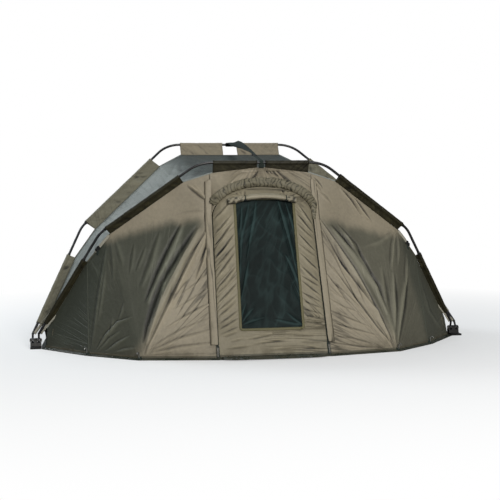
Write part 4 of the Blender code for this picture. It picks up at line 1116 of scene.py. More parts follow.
def door_half_width(z):
    return zip_line(1, np.minimum(z, ARCH_SPRING))[..., 0] - ZIP_WIDTH / 2 - ZIP_EDGE_GAP


def arch_z(share, lift=0.0):
    fall = 1 - np.minimum(1.0, np.abs(share)) ** ARCH_SQUARENESS
    return ARCH_SPRING + (ARCH_RISE + lift) * np.sqrt(fall)


def front_y(x, z):
    """Depth of the door and the header above it."""
    top = front_edge(5)
    face_top = WINDOW_HEAD + COVER_RADIUS
    face = DOOR_FACE_Y + DOOR_FACE_SLOPE * (np.minimum(z, face_top) - WINDOW_SILL)
    above = np.clip((z - face_top) / (top[2] - face_top), 0.0, 1.0)
    face = mix(face, top[1], above)
    edge = zip_line(1, z)
    share = np.minimum(1.0, np.abs(x) / edge[..., 0])
    return mix(face, edge[..., 1], share ** 4)


def door_point(s, z, back=0.0):
    x = s * door_half_width(z)
    return np.stack([x, front_y(x, z) + back, z], -1)


PANEL_OUT = unit(np.array((0.35, -0.90, 0.25)))
SLIDE = np.array((ZIP_WIDTH / 2 + ZIP_EDGE_GAP, 0.0, 0.0))
HUB_FOOT = np.array((HUB_INNER_X - SHEET_LIP, WING_HUB_Y, HEM_HEIGHT))
ELBOW_CORNER = front_edge(2)
LEG_CORNER = front_edge(1)
SLEEVE_CORNER = front_edge(3)
FOOT_CORNER = front_edge(0)
WING_TOP = front_edge(FRONT.count_at(door_half_width(ARCH_SPRING) + ARCH_GAP + ZIP_EDGE_GAP))
WING_TOPS = np.array([WING_TOP, SLEEVE_CORNER, front_edge(2.5), ELBOW_CORNER, LEG_CORNER,
                      FOOT_CORNER])
WING_FEET = np.array([DOOR_FOOT + SLIDE, mix(DOOR_FOOT, INNER_PEG, 0.55), INNER_PEG,
                      mix(INNER_PEG, OUTER_PEG, 0.65), OUTER_PEG, HUB_FOOT])
WING_CREASES = np.array([
    KNEE + SLIDE, mix(KNEE, ELBOW_CORNER, 0.32), mix(KNEE, ELBOW_CORNER, 0.62),
    mix(ELBOW_CORNER, WING_FEET[3], 0.12), mix(LEG_CORNER, OUTER_PEG, 0.12),
    mix(FOOT_CORNER, HUB_FOOT, 0.12)])
WING_FACETS = np.array([
    (DOOR_FOOT + SLIDE, INNER_PEG, KNEE + SLIDE), (INNER_PEG, ELBOW_CORNER, KNEE + SLIDE),
    (INNER_PEG, OUTER_PEG, ELBOW_CORNER), (OUTER_PEG, LEG_CORNER, ELBOW_CORNER),
    (OUTER_PEG, HUB_FOOT, LEG_CORNER), (HUB_FOOT, FOOT_CORNER, LEG_CORNER),
    (KNEE + SLIDE, ELBOW_CORNER, SLEEVE_CORNER), (KNEE + SLIDE, SLEEVE_CORNER, WING_TOP)])

# Creases of the wings in mm: height, half width, then x and z of each point of the run
LEFT_CREASES = (
    (17, 14, 790, 30, 770, 80, 620, 360, 490, 590, 360, 800),
    (8, 9, 800, 40, 680, 360, 530, 620, 400, 820),
    (20, 26, 790, 90, 760, 190, 660, 450, 540, 630, 420, 800),
    (15, 18, 770, 330, 690, 500, 610, 655, 520, 820), (6, 16, 800, 420, 730, 580, 660, 770),
    (4, 9, 820, 520, 750, 680), (4, 10, 860, 500, 820, 700),
    (8, 7, 1085, 20, 1020, 130, 945, 215, 850, 255), (7, 6, 1075, 20, 1000, 110, 920, 170),
    (6, 7, 1040, 20, 940, 100, 870, 140), (5, 7, 980, 30, 900, 60, 840, 70),
    (5, 6, 940, 220, 900, 330), (4, 6, 990, 140, 970, 240), (5, 10, 1110, 20, 1060, 340, 986, 720),
    (5, 7, 1060, 200, 1030, 380, 1000, 560), (4, 14, 900, 550, 940, 720),
    (4, 10, 960, 450, 965, 700), (8, 9, 800, 20, 600, 25, 375, 35),
    (8, 10, 800, 30, 580, 75, 370, 100), (7, 9, 790, 40, 580, 125, 363, 180),
    (6, 8, 780, 60, 570, 175, 362, 255), (8, 8, 660, 190, 500, 274, 360, 345),
    (6, 7, 620, 290, 500, 350, 370, 430), (6, 7, 570, 380, 460, 450, 370, 530),
    (10, 9, 460, 470, 410, 580, 360, 730), (7, 8, 450, 600, 370, 760),
    (11, 11, 360, 965, 420, 1020, 480, 1065), (6, 9, 380, 1000, 440, 1070),
    (8, 8, 357, 1030, 345, 1080, 337, 1120), (3, 12, 550, 880, 370, 900))
RIGHT_CREASES = (
    (15, 11, 800, 30, 735, 205, 580, 517, 370, 850),
    (15, 11, 790, 50, 700, 258, 608, 382, 487, 547, 378, 790),
    (13, 10, 800, 25, 686, 156, 556, 338, 423, 545), (9, 9, 500, 320, 380, 500),
    (18, 20, 790, 220, 740, 400, 600, 620, 450, 800), (9, 12, 740, 380, 620, 668, 500, 810),
    (10, 11, 720, 460, 650, 580, 550, 755), (10, 18, 815, 40, 860, 250, 886, 480),
    (11, 18, 830, 30, 930, 250, 1010, 460), (7, 18, 820, 50, 800, 300, 800, 520),
    (8, 10, 940, 740, 900, 660, 860, 500), (6, 10, 955, 730, 940, 620, 920, 520),
    (4, 12, 930, 745, 800, 690, 680, 660), (6, 12, 1020, 600, 990, 480, 970, 380),
    (8, 8, 660, 150, 500, 215, 365, 275), (8, 8, 700, 100, 520, 150, 365, 200),
    (7, 8, 680, 45, 520, 90, 370, 115), (9, 8, 800, 15, 580, 35, 370, 75),
    (7, 8, 790, 12, 580, 18, 380, 35), (6, 7, 600, 240, 470, 290, 370, 350),
    (5, 7, 550, 300, 460, 350, 370, 410), (5, 7, 500, 370, 400, 450), (5, 7, 450, 480, 380, 600),
    (9, 9, 410, 1040, 352, 1110), (6, 8, 400, 1020, 345, 1080),
    (11, 10, 690, 850, 620, 950, 540, 1040), (12, 10, 765, 815, 700, 890, 640, 975),
    (4, 10, 470, 940, 420, 990, 380, 1020), (4, 14, 1330, 50, 1200, 200, 1140, 420))


def facet_depth(x, z):
    """Depth of the wing's facets, from the triangle that each point lies in."""
    best = np.full(np.shape(x), -np.inf)
    depth = np.zeros(np.shape(x))
    for corners in WING_FACETS:
        flat = np.array([corners[:, 0], corners[:, 2], (1, 1, 1)])
        weights = np.einsum("ij,j...->i...", np.linalg.inv(flat), np.stack([x, z, np.ones_like(x)]))
        within = weights.min(0)
        nearer = within > best
        depth = np.where(nearer, sum(w * y for w, y in zip(weights, corners[:, 1])), depth)
        best = np.where(nearer, within, best)
    return depth


def wing_grid(a, b):
    """Smooth points of the right wing: a from zip (0) to hub (5), b from hem to top (1)."""
    crease, foot, top = (between(a, points) for points in (WING_CREASES, WING_FEET, WING_TOPS))
    lower = mix(foot, crease, np.minimum(1.0, b / CREASE_SHARE)[..., None])
    upper = np.clip((b - CREASE_SHARE) / (1 - CREASE_SHARE), 0.0, 1.0)[..., None]
    places = mix(lower, top, upper)
    x, z = places[..., 0], places[..., 2]
    edge = ramp(0.0, 0.25, a) * ramp(5.0, 4.8, a) * ramp(0.0, 0.06, b) * ramp(1.0, 0.94, b)
    # a mean over a small ring of points rounds the facets' edges
    depth = facet_depth(x, z) * 2
    for turn in np.arange(8) * math.pi / 4:
        shift = 0.022 * edge
        depth = depth + facet_depth(x + math.cos(turn) * shift, z + math.sin(turn) * shift)
    share = np.clip((x - KNEE[0]) / (INNER_PEG[0] - KNEE[0]), 0.0, 1.0)
    ridge_z = mix(KNEE[2], INNER_PEG[2], share)
    near = np.exp(-((z - ridge_z) / 0.22) ** 2) * np.sin(math.pi * share)
    places[..., 1] = depth / 10 - 0.030 * near * edge
    return places, edge


def beyond(x, z, start, end):
    """How far points lie on the left of a line through two places, seen from the front."""
    run = end - start
    return ((x - start[0]) * -run[2] + (z - start[2]) * run[0]) / math.hypot(run[0], run[2])


def wing_painted_shade(x, z, side):
    """Share of painted shade, for facets that turn from the light: outside the crease to the inner
    peg and below the elbow.
    """
    # the left wing gets more painted shade than the right
    power, inner_share, outer_share = (1.25, 0.72, 0.87) if side > 0 else (2.2, 0.90, 0.98)
    share = np.clip((x - KNEE[0]) / (ELBOW_CORNER[0] - KNEE[0]), 0.0, 1.0)
    waver = 0.022 * bumps(x * 10, z * 3, 25 + side) + 0.010 * bumps(x * 34, z * 9, 26 + side)
    low = mix(0.868, ELBOW_CORNER[2] - 0.01, share ** power) - z + waver
    past = beyond(x, z, KNEE, INNER_PEG)
    out = beyond(x, z, ELBOW_CORNER, OUTER_PEG)
    share = mix(inner_share, outer_share, ramp(-0.03, 0.03, out))
    return ramp(-0.03, 0.07, past) * ramp(-0.005, 0.075, low) * share


def build_wing(name, side):
    """Front wing between a zip and the hoop: taut facets with folds that fan out."""
    parts = [(0, 1, 48), (1, 2, 50), (2, 3, 50), (3, 4, 22), (4, 5, 30)]
    a = np.concatenate([np.linspace(lo, hi, n, endpoint=False) for lo, hi, n in parts] + [[5.0]])
    b = np.concatenate([np.linspace(0, CREASE_SHARE, 136, endpoint=False),
                        np.linspace(CREASE_SHARE, 1, 52)])
    a, b = grid_of(a, b)
    smooth = wing_grid(a, b)[0]
    x, z = smooth[..., 0], smooth[..., 2]
    height = 0.0
    for row in (LEFT_CREASES if side < 0 else RIGHT_CREASES):
        tall, wide, *route = in_metres(row)
        height += crease(x, z, np.reshape(route, (-1, 2)), tall, wide)
    rough = mix(0.35, 1.0, ramp(0.90, 0.80, z))
    crumple = ridges(x * 13 + z * 6, z * 12 - x * 4, 20 + side)
    height = height + (0.0009 * crumple + 0.0012 * bumps(x * 4.5, z * 4.0, 30 + side)) * rough
    edge = ramp(0.0, 0.16, a) * ramp(5.0, 4.7, a) * ramp(0.0, 0.03, b) * ramp(1.0, 0.97, b)
    places = smooth + PANEL_OUT * (height * edge)[..., None]
    mirror = np.array((side, 1.0, 1.0))
    grain = fan(x, z, INNER_PEG[[0, 2]] - (0.0, 0.05)) + (0.0, 0.0, 3.0 * side)
    # fold heights also give painted highlights on crests and painted shade in valleys
    ridge = fold_tone(height, 0.0085) * edge
    # the wing's outer facets get painted shade
    wing = cloth(f"wing_{name}", places * mirror, ridge=ridge, damp=wing_painted_shade(x, z, side),
                 grain=grain, calm=ramp(0.74, 0.86, z))
    dress(wing, PANEL, "front_hoop", [f"front_wing_{name}"])

    out = PANEL_OUT * mirror
    line = resampled(smooth[:, 0] * mirror, 0.010)
    up = square_to(line, (0.0, 0.0, 1.0), (0.0, -1.0, 0.0))
    hem = ribbon(f"hem_tape_{name}", "front_hem", line + up * 0.0022 + (0, 0, 0.004), up,
                 "front_hoop")
    line = wing_grid(np.full(80, 4.0), np.linspace(0.02, 0.97, 80))[0] * mirror
    seam = ribbon(f"wing_seam_{name}", "wing_seam", line + out * 0.0004, out, "front_hoop")
    cut_cloth(smooth)
    build_storm_flap(name, side, wing)


def build_storm_flap(name, side, wing):
    """Flap that is sewn to the wing; its free edge stands proud over the zip."""
    mirror = np.array((side, 1.0, 1.0))
    out = PANEL_OUT * mirror
    heights = np.linspace(0.062, 0.955, 150)
    inner = wing_grid(np.zeros(150), heights)[0] * mirror
    beside = wing_grid(np.full(150, 0.25), heights)[0] * mirror
    way = unit(beside - inner)
    shift = np.linspace(0.0, 1.0, 16)
    wave = bumps(heights * 24, np.zeros(150), 41 + side)[:, None] * (1 - shift)
    cross = mix(-0.0155, FLAP_WIDTH, shift) - 0.0010 * wave
    rise = mix(0.0115, 0.0012, ramp(0.70, 1.0, shift))
    rise = rise + 0.0015 * np.sin(math.pi * np.minimum(1, shift * 1.3)) + 0.0009 * wave
    flap = inner[:, None] + way[:, None] * cross[..., None] + out * rise[..., None]
    # painted shadow lines along both edges of the flap and a painted highlight along its raised
    # middle
    tone = np.interp(shift, (0.0, 0.06, 0.14, 0.84, 0.90, 1.0), (-0.7, 0.3, 0.5, 0.3, -0.7, -0.7))
    plain_sheet(f"zip_flap_{name}", flap, PANEL, "front_hoop", "hung", [wing],
                [f"storm_flap_{name}"], ridge=np.tile(tone, (150, 1)))
    stitches(f"flap_stitches_{name}", flap[:, 12] + out * 0.0008, out, "front_hoop")


# Creases of the door in mm: x and z at the window's side, drop to the zip and height
DOOR_CREASES_LEFT = (
    (215, 960, 130, 5), (215, 875, 140, 5.5), (205, 835, 170, 7.5), (200, 760, 170, 7),
    (200, 690, 150, 4.5), (205, 640, 160, 6), (200, 560, 150, 6.5), (210, 500, 120, 4),
    (200, 455, 130, 5.5), (200, 390, 110, 4.5), (210, 345, 100, 5), (200, 290, 90, 4.5),
    (205, 240, 70, 4.5), (200, 190, 50, 4))
DOOR_CREASES_RIGHT = (
    (230, 930, 150, 7), (215, 870, 140, 7), (205, 815, 120, 4), (210, 750, 130, 7.5),
    (205, 690, 100, 4), (210, 630, 120, 6.5), (215, 545, 110, 7), (205, 490, 80, 4.5),
    (210, 455, 100, 6), (205, 385, 70, 5), (215, 330, 50, 4.5), (200, 285, 40, 5),
    (210, 245, 30, 4.5), (200, 205, 20, 4.5))
DOOR_LOW_CREASES = (
    (-200, 105, 60, 150), (-140, 80, 120, 112), (80, 135, 300, 120), (-310, 60, -120, 75),
    (120, 60, 320, 45), (-320, 130, -210, 160), (160, 90, 320, 80), (-40, 45, 160, 55),
    (-280, 100, -160, 120))


def door_creases(x, z):
    """Heights of the folds in the door's surround."""
    height = 0.0
    for side, starts in ((-1, DOOR_CREASES_LEFT), (1, DOOR_CREASES_RIGHT)):
        for x0, z0, drop, tall in map(in_metres, starts):
            middle = (side * mix(x0, DOOR_EDGE_X, 0.55), z0 - 0.60 * drop)
            route = ((side * x0, z0), middle, (side * DOOR_EDGE_X, z0 - drop))[::-side]
            height += crease(x, z, route, 1.2 * tall, 0.0078)
        # short folds from the cover's ties up to the arch
        for tie, arch in ((0.140, 0.16), (0.150, 0.195), (0.160, 0.225), (0.135, 0.12)):
            end = (side * arch, 1.045 - arch * 0.12)
            height += fold(x, z, (side * tie, 0.985), end, 0.007, 0.0085)
    for x0, z0, x1, z1 in map(in_metres, DOOR_LOW_CREASES):
        height += fold(x, z, (x0, z0), (x1, z1), 0.0045, 0.0065)
    return height + 0.0010 * ridges(x * 15, z * 9, 50) + 0.0015 * bumps(x * 6, z * 5, 51)


def window_outline():
    """The window's rounded outline: shares of the door's half width, and heights."""
    reach = WINDOW_CORNER / DOOR_HALF
    border = []
    for cx, cz, turn in ((WINDOW_SHARE, WINDOW_SILL, -90), (WINDOW_SHARE, WINDOW_HEAD, 0),
                         (-WINDOW_SHARE, WINDOW_HEAD, 90), (-WINDOW_SHARE, WINDOW_SILL, 180)):
        px = cx - math.copysign(reach, cx)
        pz = cz + (WINDOW_CORNER if cz < 0.5 else -WINDOW_CORNER)
        for angle in np.radians(turn + np.arange(7) * 15.0):
            border.append((px + reach * math.cos(angle), pz + WINDOW_CORNER * math.sin(angle)))
    flat = np.array(border + border[:1])
    along = np.append(0.0, np.cumsum(np.hypot(*(np.diff(flat, axis=0) * (DOOR_HALF, 1)).T)))
    at = np.linspace(0, along[-1], 300)
    return np.stack([np.interp(at, along, flat[:, i]) for i in (0, 1)], -1)


def build_door():
    """Drop-down door: a cloth surround with a bound window opening."""
    strip_cells, window_cells, low_cells, side_cells = 32, 64, 30, 160
    s = np.concatenate([np.linspace(-1, -WINDOW_SHARE, strip_cells, endpoint=False),
                        np.linspace(-WINDOW_SHARE, WINDOW_SHARE, window_cells, endpoint=False),
                        np.linspace(WINDOW_SHARE, 1, strip_cells + 1)])
    side_top = arch_z(WINDOW_SHARE) - HEM_HEIGHT
    columns = []
    for share in s:
        top = arch_z(share)
        head = WINDOW_HEAD
        if abs(share) > WINDOW_SHARE:
            head = HEM_HEIGHT + (top - HEM_HEIGHT) * (WINDOW_HEAD - HEM_HEIGHT) / side_top
        columns.append(np.concatenate([
            np.linspace(HEM_HEIGHT, WINDOW_SILL, low_cells, endpoint=False),
            np.linspace(WINDOW_SILL, head, side_cells, endpoint=False),
            np.linspace(head, top, 18)]))
    z = np.array(columns)
    s = np.broadcast_to(s[:, None], z.shape)
    smooth = door_point(s, z)
    x = smooth[..., 0]
    height = door_creases(x, z)
    edge = ramp(0.0, 0.02, z - HEM_HEIGHT) * ramp(0.0, 0.02, arch_z(s) - z)
    edge = inside((s + 1) / 2, 0.03) * edge
    gap = np.where(np.abs(s) > WINDOW_SHARE, (np.abs(s) - WINDOW_SHARE) * DOOR_HALF, 0.0)
    gap = np.maximum(gap, np.maximum(WINDOW_SILL - z, z - WINDOW_HEAD))
    edge = edge * ramp(0.0, 0.018, gap)
    # fold heights also give painted highlights on crests and painted shade in valleys
    ridge = fold_tone(height, 0.0048) * edge
    level = np.maximum(ramp(0.24, 0.12, z), ramp(0.95, 0.99, z))
    grain = np.stack([mix(0.70 * np.abs(x) + 0.71 * z, z, level),
                      mix(0.71 * np.abs(x) - 0.70 * z, x, level), mix(np.sign(x), 0.0, level)], -1)
    hole = np.zeros((z.shape[0] - 1, z.shape[1] - 1), bool)
    hole[strip_cells:-strip_cells, low_cells:low_cells + side_cells] = True
    door = cloth("door", raised(smooth, height * edge), hole=hole, ridge=ridge, grain=grain)
    dress(door, DOOR, "door", ["door_panel"])

    flat = window_outline()
    line = door_point(flat[:, 0], flat[:, 1], -0.0032)
    trims = [ribbon("window_binding", "window_binding", line, (0.0, -1.0, 0.29), "door")]
    middle = np.array((0.0, (WINDOW_SILL + WINDOW_HEAD) / 2))
    for name, inset in (("outer", 1.028), ("inner", 0.975)):
        ring = middle + (flat - middle) * (inset, mix(1.0, inset, 0.4))
        spot = door_point(ring[:, 0], ring[:, 1], -0.0052)
        trims.append(stitches(f"binding_stitches_{name}", spot, (0.0, -1.0, 0.3), "door"))
    low = door_point(np.linspace(-0.985, 0.985, 120), np.full(120, HEM_HEIGHT + 0.006), -0.0022)
    trims.append(ribbon("door_hem", "door_hem", low, (0.0, -1.0, 0.2), "door"))
    window = 2 * WINDOW_SHARE * 0.32 * (WINDOW_HEAD - WINDOW_SILL)
    cut_cloth(smooth,
              quad_area(smooth) - window)


# Folds of the net in mm: x and z where some start, then x and z of each one's end
NET_FANS = (
    (-55, 962, -120, 700, -150, 550), (-100, 962, -185, 660), (-150, 930, -205, 600, -195, 440),
    (-120, 620, -195, 330), (85, 965, 180, 500, 165, 600, 120, 760), (130, 965, 205, 560, 195, 700),
    (185, 960, 205, 780), (110, 620, 205, 340, 190, 420), (140, 480, 208, 290),
    (-200, 190, -100, 300, -20, 240, -150, 330), (205, 190, 100, 270, 20, 230, 130, 240))


def build_net():
    """Mesh window behind the door's opening, with folds from its upper corners."""
    lap, tall_lap = 0.036, 0.012
    s, z = grid_of(np.linspace(-WINDOW_SHARE - lap, WINDOW_SHARE + lap, 90),
                   np.linspace(WINDOW_SILL - tall_lap, WINDOW_HEAD + tall_lap, 150))
    smooth = door_point(s, z, 0.0062)
    x = smooth[..., 0]
    height = 0.0025 * bumps(x * 7, z * 4, 60)
    for row in NET_FANS:
        start, *ends = np.reshape(in_metres(row), (-1, 2))
        for end in ends:
            height += fold(x, z, start, end, 0.0045, 0.0075)
    height = height + 0.0014 * ridges(x * 9 + z * 3, z * 7, 61)
    edge = inside((s / (WINDOW_SHARE + lap) + 1) / 2, 0.07)
    edge = edge * ramp(0, 0.035, z - WINDOW_SILL + tall_lap)
    edge = edge * ramp(0, 0.03, WINDOW_HEAD + tall_lap - z)
    height = np.clip(height, -0.006, 0.0045) * edge
    # fold crests get the net's painted sheen
    net = cloth("net", raised(smooth, height), ridge=np.clip(height / 0.0045, 0, 1),
                grain=fan(x, z, (0.30, 1.30)), thickness=0.0008)
    dress(net, NET, "door", ["window_net"])
    cut_cloth(smooth)


def build_cover():
    """Window cover, rolled up and tied with two toggles above the window."""
    x = np.linspace(-COVER_LEFT, COVER_RIGHT, 130)
    pinch = sum(np.exp(-((x - tie) / 0.011) ** 2) for tie in COVER_TIES)
    loose = ramp(0.0, 0.03, COVER_TIES[0] - x) + ramp(0.0, 0.03, x - COVER_TIES[1])
    z = WINDOW_HEAD + COVER_RADIUS / 2 - COVER_DROOP * (x / COVER_LEFT) ** 2
    z = z + 0.006 * np.maximum(0.0, 1 - (x / 0.16) ** 2)
    path = np.stack([x, front_y(x, z) - COVER_RADIUS - 0.003, z], -1)
    turn = np.linspace(0, 2 * math.pi * COVER_WINDS, 21 * COVER_WINDS)
    growth = 0.30 + 0.70 * turn / turn[-1]
    uneven = (0.03 + 0.20 * loose) * bumps(x * 30, np.zeros(130), 70)
    radius = COVER_RADIUS * (1 + uneven - 0.24 * pinch)
    wide, around = grid_of(x, turn)
    ruffle = 1 + 0.10 * (loose + 0.5 * pinch)[:, None] * bumps(wide * 55, around * 1.1, 71)
    ruffle = ruffle + 0.05 * loose[:, None] * np.sin(around * 2 + wide * 150)
    outline = (radius[:, None] * growth * ruffle)[..., None]
    away = np.stack([0 * turn, np.cos(turn - 1.2), np.sin(turn - 1.2)], -1)
    # painted shade on the roll's underside and in its loose ends, and a painted highlight over the
    # rest of the roll and on its ruffles
    under = ramp(-0.10, -0.85, away[:, 2])
    ridge = np.clip((ruffle - 1) * 16, -1, 1) + 0.4 - 0.5 * loose[:, None] - 1.3 * under
    places = path[:, None] + outline * away
    roll = cloth("cover_roll", places, ridge=ridge, thickness=0.0008)
    dress(roll, COVER, "door", ["window_cover_roll"])
    ring = COVER_RADIUS * 0.92
    around = np.linspace(0, 2 * math.pi, 40)
    for i, tie in enumerate(COVER_TIES):
        spot = np.array([np.interp(tie, x, path[:, j]) for j in range(3)])
        loop = spot + np.stack([0 * around, ring * np.cos(around), ring * np.sin(around)], -1)
        ribbon(f"cover_tie_{i}", "cover_tie", loop, unit(loop - spot), "door")
        front = spot + np.array((0.0, -ring * 0.80, -ring * 0.72))
        ends = np.linspace(-0.012, 0.012, 14)
        shape = 0.0038 * (1 - 0.35 * np.exp(-(ends / 0.003) ** 2))
        shape = shape * np.sqrt(np.clip(1 - (ends / 0.0123) ** 6, 0.05, 1))
        toggle = tube(f"cover_toggle_{i}", front + np.outer(ends, (1.0, 0.0, 0.0)), shape)
        dress(toggle, PLASTIC, "door")
    cut_cloth(places)


# Creases of the header in mm: x at the hood and x at the crown
HEADER_CREASES = (
    (-272, -100), (-236, -78), (-200, -56), (-160, -40), (-105, -22), (115, 30), (165, 50),
    (205, 72), (245, 100))


def build_header():
    """Cloth above the door's arch, with folds that radiate from the hoop's middle."""
    half = float(door_half_width(ARCH_SPRING)) + ARCH_GAP
    s, share = grid_of(np.sin(np.linspace(-math.pi / 2, math.pi / 2, 120)),
                       np.linspace(0.0, 1.0, 44))
    x = s * half
    top = front_edge(5)[2]
    crown = FRONT.corners[4, 0]
    side_z = front_edge(FRONT.count_at(np.abs(x)))[..., 2]
    edge_z = np.where(np.abs(x) > crown, side_z, top)
    edge_z = edge_z + APEX_RISE * ramp(1.0, 0.0, np.abs(x) / crown) ** 0.6 * (np.abs(x) < crown)
    z = mix(arch_z(s, ARCH_GAP), edge_z, share)
    lean = np.maximum(0.0, z - top) * math.tan(FRONT.lean)
    smooth = np.stack([x, front_y(x, np.minimum(z, top)) + lean, z], -1)
    height = 0.001 * bumps(x * 9, z * 9, 80)
    for end, start in map(in_metres, HEADER_CREASES):
        base = float(arch_z(end / half, ARCH_GAP)) + 0.020
        height += fold(x, z, (end, base), (start, top + 0.010), 0.0110, 0.0110)
    edge = ramp(0.0, 0.10, share) * ramp(1.0, 0.94, share) * inside((s + 1) / 2, 0.02)
    height = (height + 0.0012 * ridges(x * 14, z * 12, 81)) * edge
    # fold heights also give painted highlights on crests and painted shade in valleys
    header = cloth("header", raised(smooth, height), ridge=fold_tone(height, 0.0028),
                   grain=fan(x, z, (0.0, 1.26)), calm=0.3 + 0 * z)
    dress(header, PANEL, "front_hoop", ["front_header"])
    drops = [(0.0, FRONT.shoulder[1] - drop) for drop in np.linspace(0.006, 0.032, 7)]
    tab = ribbon("header_tab", "header_tab", FRONT.place(1, drops, -0.0125), -FRONT.face(1),
                 "front_hoop")
    cut_cloth(smooth)


def hood_path():
    """Middle line of the hood: over the arch, and down at the right to the zip."""
    lift = HOOD_RADIUS + 2 * ARCH_GAP
    half = float(door_half_width(ARCH_SPRING)) + lift
    turns = np.radians(np.linspace(-HOOD_TURN_LEFT_DEG, HOOD_TURN_RIGHT_DEG, 200))
    share = np.sin(np.abs(turns)) ** (2 / ARCH_SQUARENESS)
    x = np.copysign(share, turns) * half
    z = arch_z(share, lift)
    proud = HOOD_RADIUS * 0.62 + 0.0095
    arch = np.stack([x, front_y(x, z) - proud, z], -1)
    tail = []
    for i in range(1, 7):
        end_x, end_y, end_z = arch[-1]
        at = end_z - 0.015 * i
        foot = zip_line(1, at)
        tail.append((mix(end_x, foot[0], min(1.0, i / 5)), mix(end_y, foot[1] - 0.018, i / 6), at))
    return resampled(np.concatenate([arch, np.array(tail)]), 0.0032)


def build_hood():
    """Storm hood: a gathered tube of cloth that arches over the door's top."""
    path = hood_path()
    reach = lengths_along(path)
    total = reach[-1]
    taper = np.minimum(1.0, 0.55 + reach / 0.05) * np.minimum(1.0, 0.34 + (total - reach) / 0.22)
    along, around = grid_of(reach, np.linspace(0, 2 * math.pi, 36, endpoint=False))
    drift = bumps(along * 22, around * 0.5, 90) + 0.7 * bumps(along * 47, around * 0.8, 92)
    phase = along * math.pi / HOOD_PLEAT_PITCH + drift * 1.9
    phase = phase + 0.9 * np.sin(around) + 0.5 * np.cos(around)
    pleat = 1 - 2 * (1 - np.abs(np.sin(phase))) ** 1.3
    pleat = pleat * (0.55 + 0.8 * np.abs(bumps(along * 13, around * 0.3, 93)))
    swell = 1 + 0.15 * pleat + 0.10 * bumps(along * 90, around * 1.2, 94)
    swell = swell + 0.14 * bumps(along * 26, around, 91)
    radius = HOOD_RADIUS * taper[:, None] * swell
    section = np.stack([radius * np.cos(around) * HOOD_WIDE,
                        radius * np.sin(around) * HOOD_FLAT], -1)
    # painted shade in the pleats' hollows and a painted highlight on their tops
    hood = sweep("gathered_hood", path, section, (0.0, -1.0, 0.0), caps=False,
                 ridge=np.clip(pleat * 1.3 - 0.1, -1, 1))
    middle = path[len(path) // 2]
    shell_of(hood, middle)
    dress(hood, HOOD, "front_hoop", ["arch_hood"])
    # a dark cord along the hood's inner edge, which also stands in for the shadow under the hood
    inward = square_to(path, (0.0, -1.0, 0.0), middle * (0, 1, 0) + (0, 0, 0.8) - path)
    edge = path + inward * (HOOD_RADIUS * 1.20 * taper)[:, None] + (0.0, 0.004, 0.0)
    hem = tube("hood_hem", edge + inward * (0.0015 * pleat[:, 9])[:, None], 0.0028)
    dress(hem, WEBBING, "front_hoop")


def build_zip(name, side):
    """Zip chain on its tape, from the hem up to the arch."""
    line = zip_line(side, np.linspace(HEM_HEIGHT + 0.004, ARCH_SPRING + 0.006, 160))
    out = square_to(line, (1.0, 0.0, 0.0), (0.0, -1.0, 0.0))
    ribbon(f"zip_tape_{name}", "zip_tape", line - out * 0.0012, out, "front_hoop",
           [f"door_zip_{name}"])
    line = line + out * 0.0006
    teeth = items_along(f"zip_teeth_{name}", line, out, ZIP_PITCH, ZIP_TOOTH, PLASTIC)
    dress(teeth, PLASTIC, "front_hoop")


# Poles and sleeves

def sleeve_outline(width):
    """Flat section of a sleeve: a ring round the pole, and both layers of its flap."""
    mouth = math.radians(SLEEVE_MOUTH_DEG)
    ring = np.linspace(mouth, 2 * math.pi - mouth, 26)
    outline = [(SLEEVE_BULK * math.cos(a), SLEEVE_BULK * math.sin(a)) for a in ring]
    u, v = outline[-1]
    down = np.linspace(0.0, 1.0, max(6, int(width / 0.007)))[1:]
    lower = [(mix(u, width, t), mix(v, -0.0016, t ** 0.7)) for t in down]
    return np.array(outline + lower + [(u, -v) for u, v in lower[::-1]])


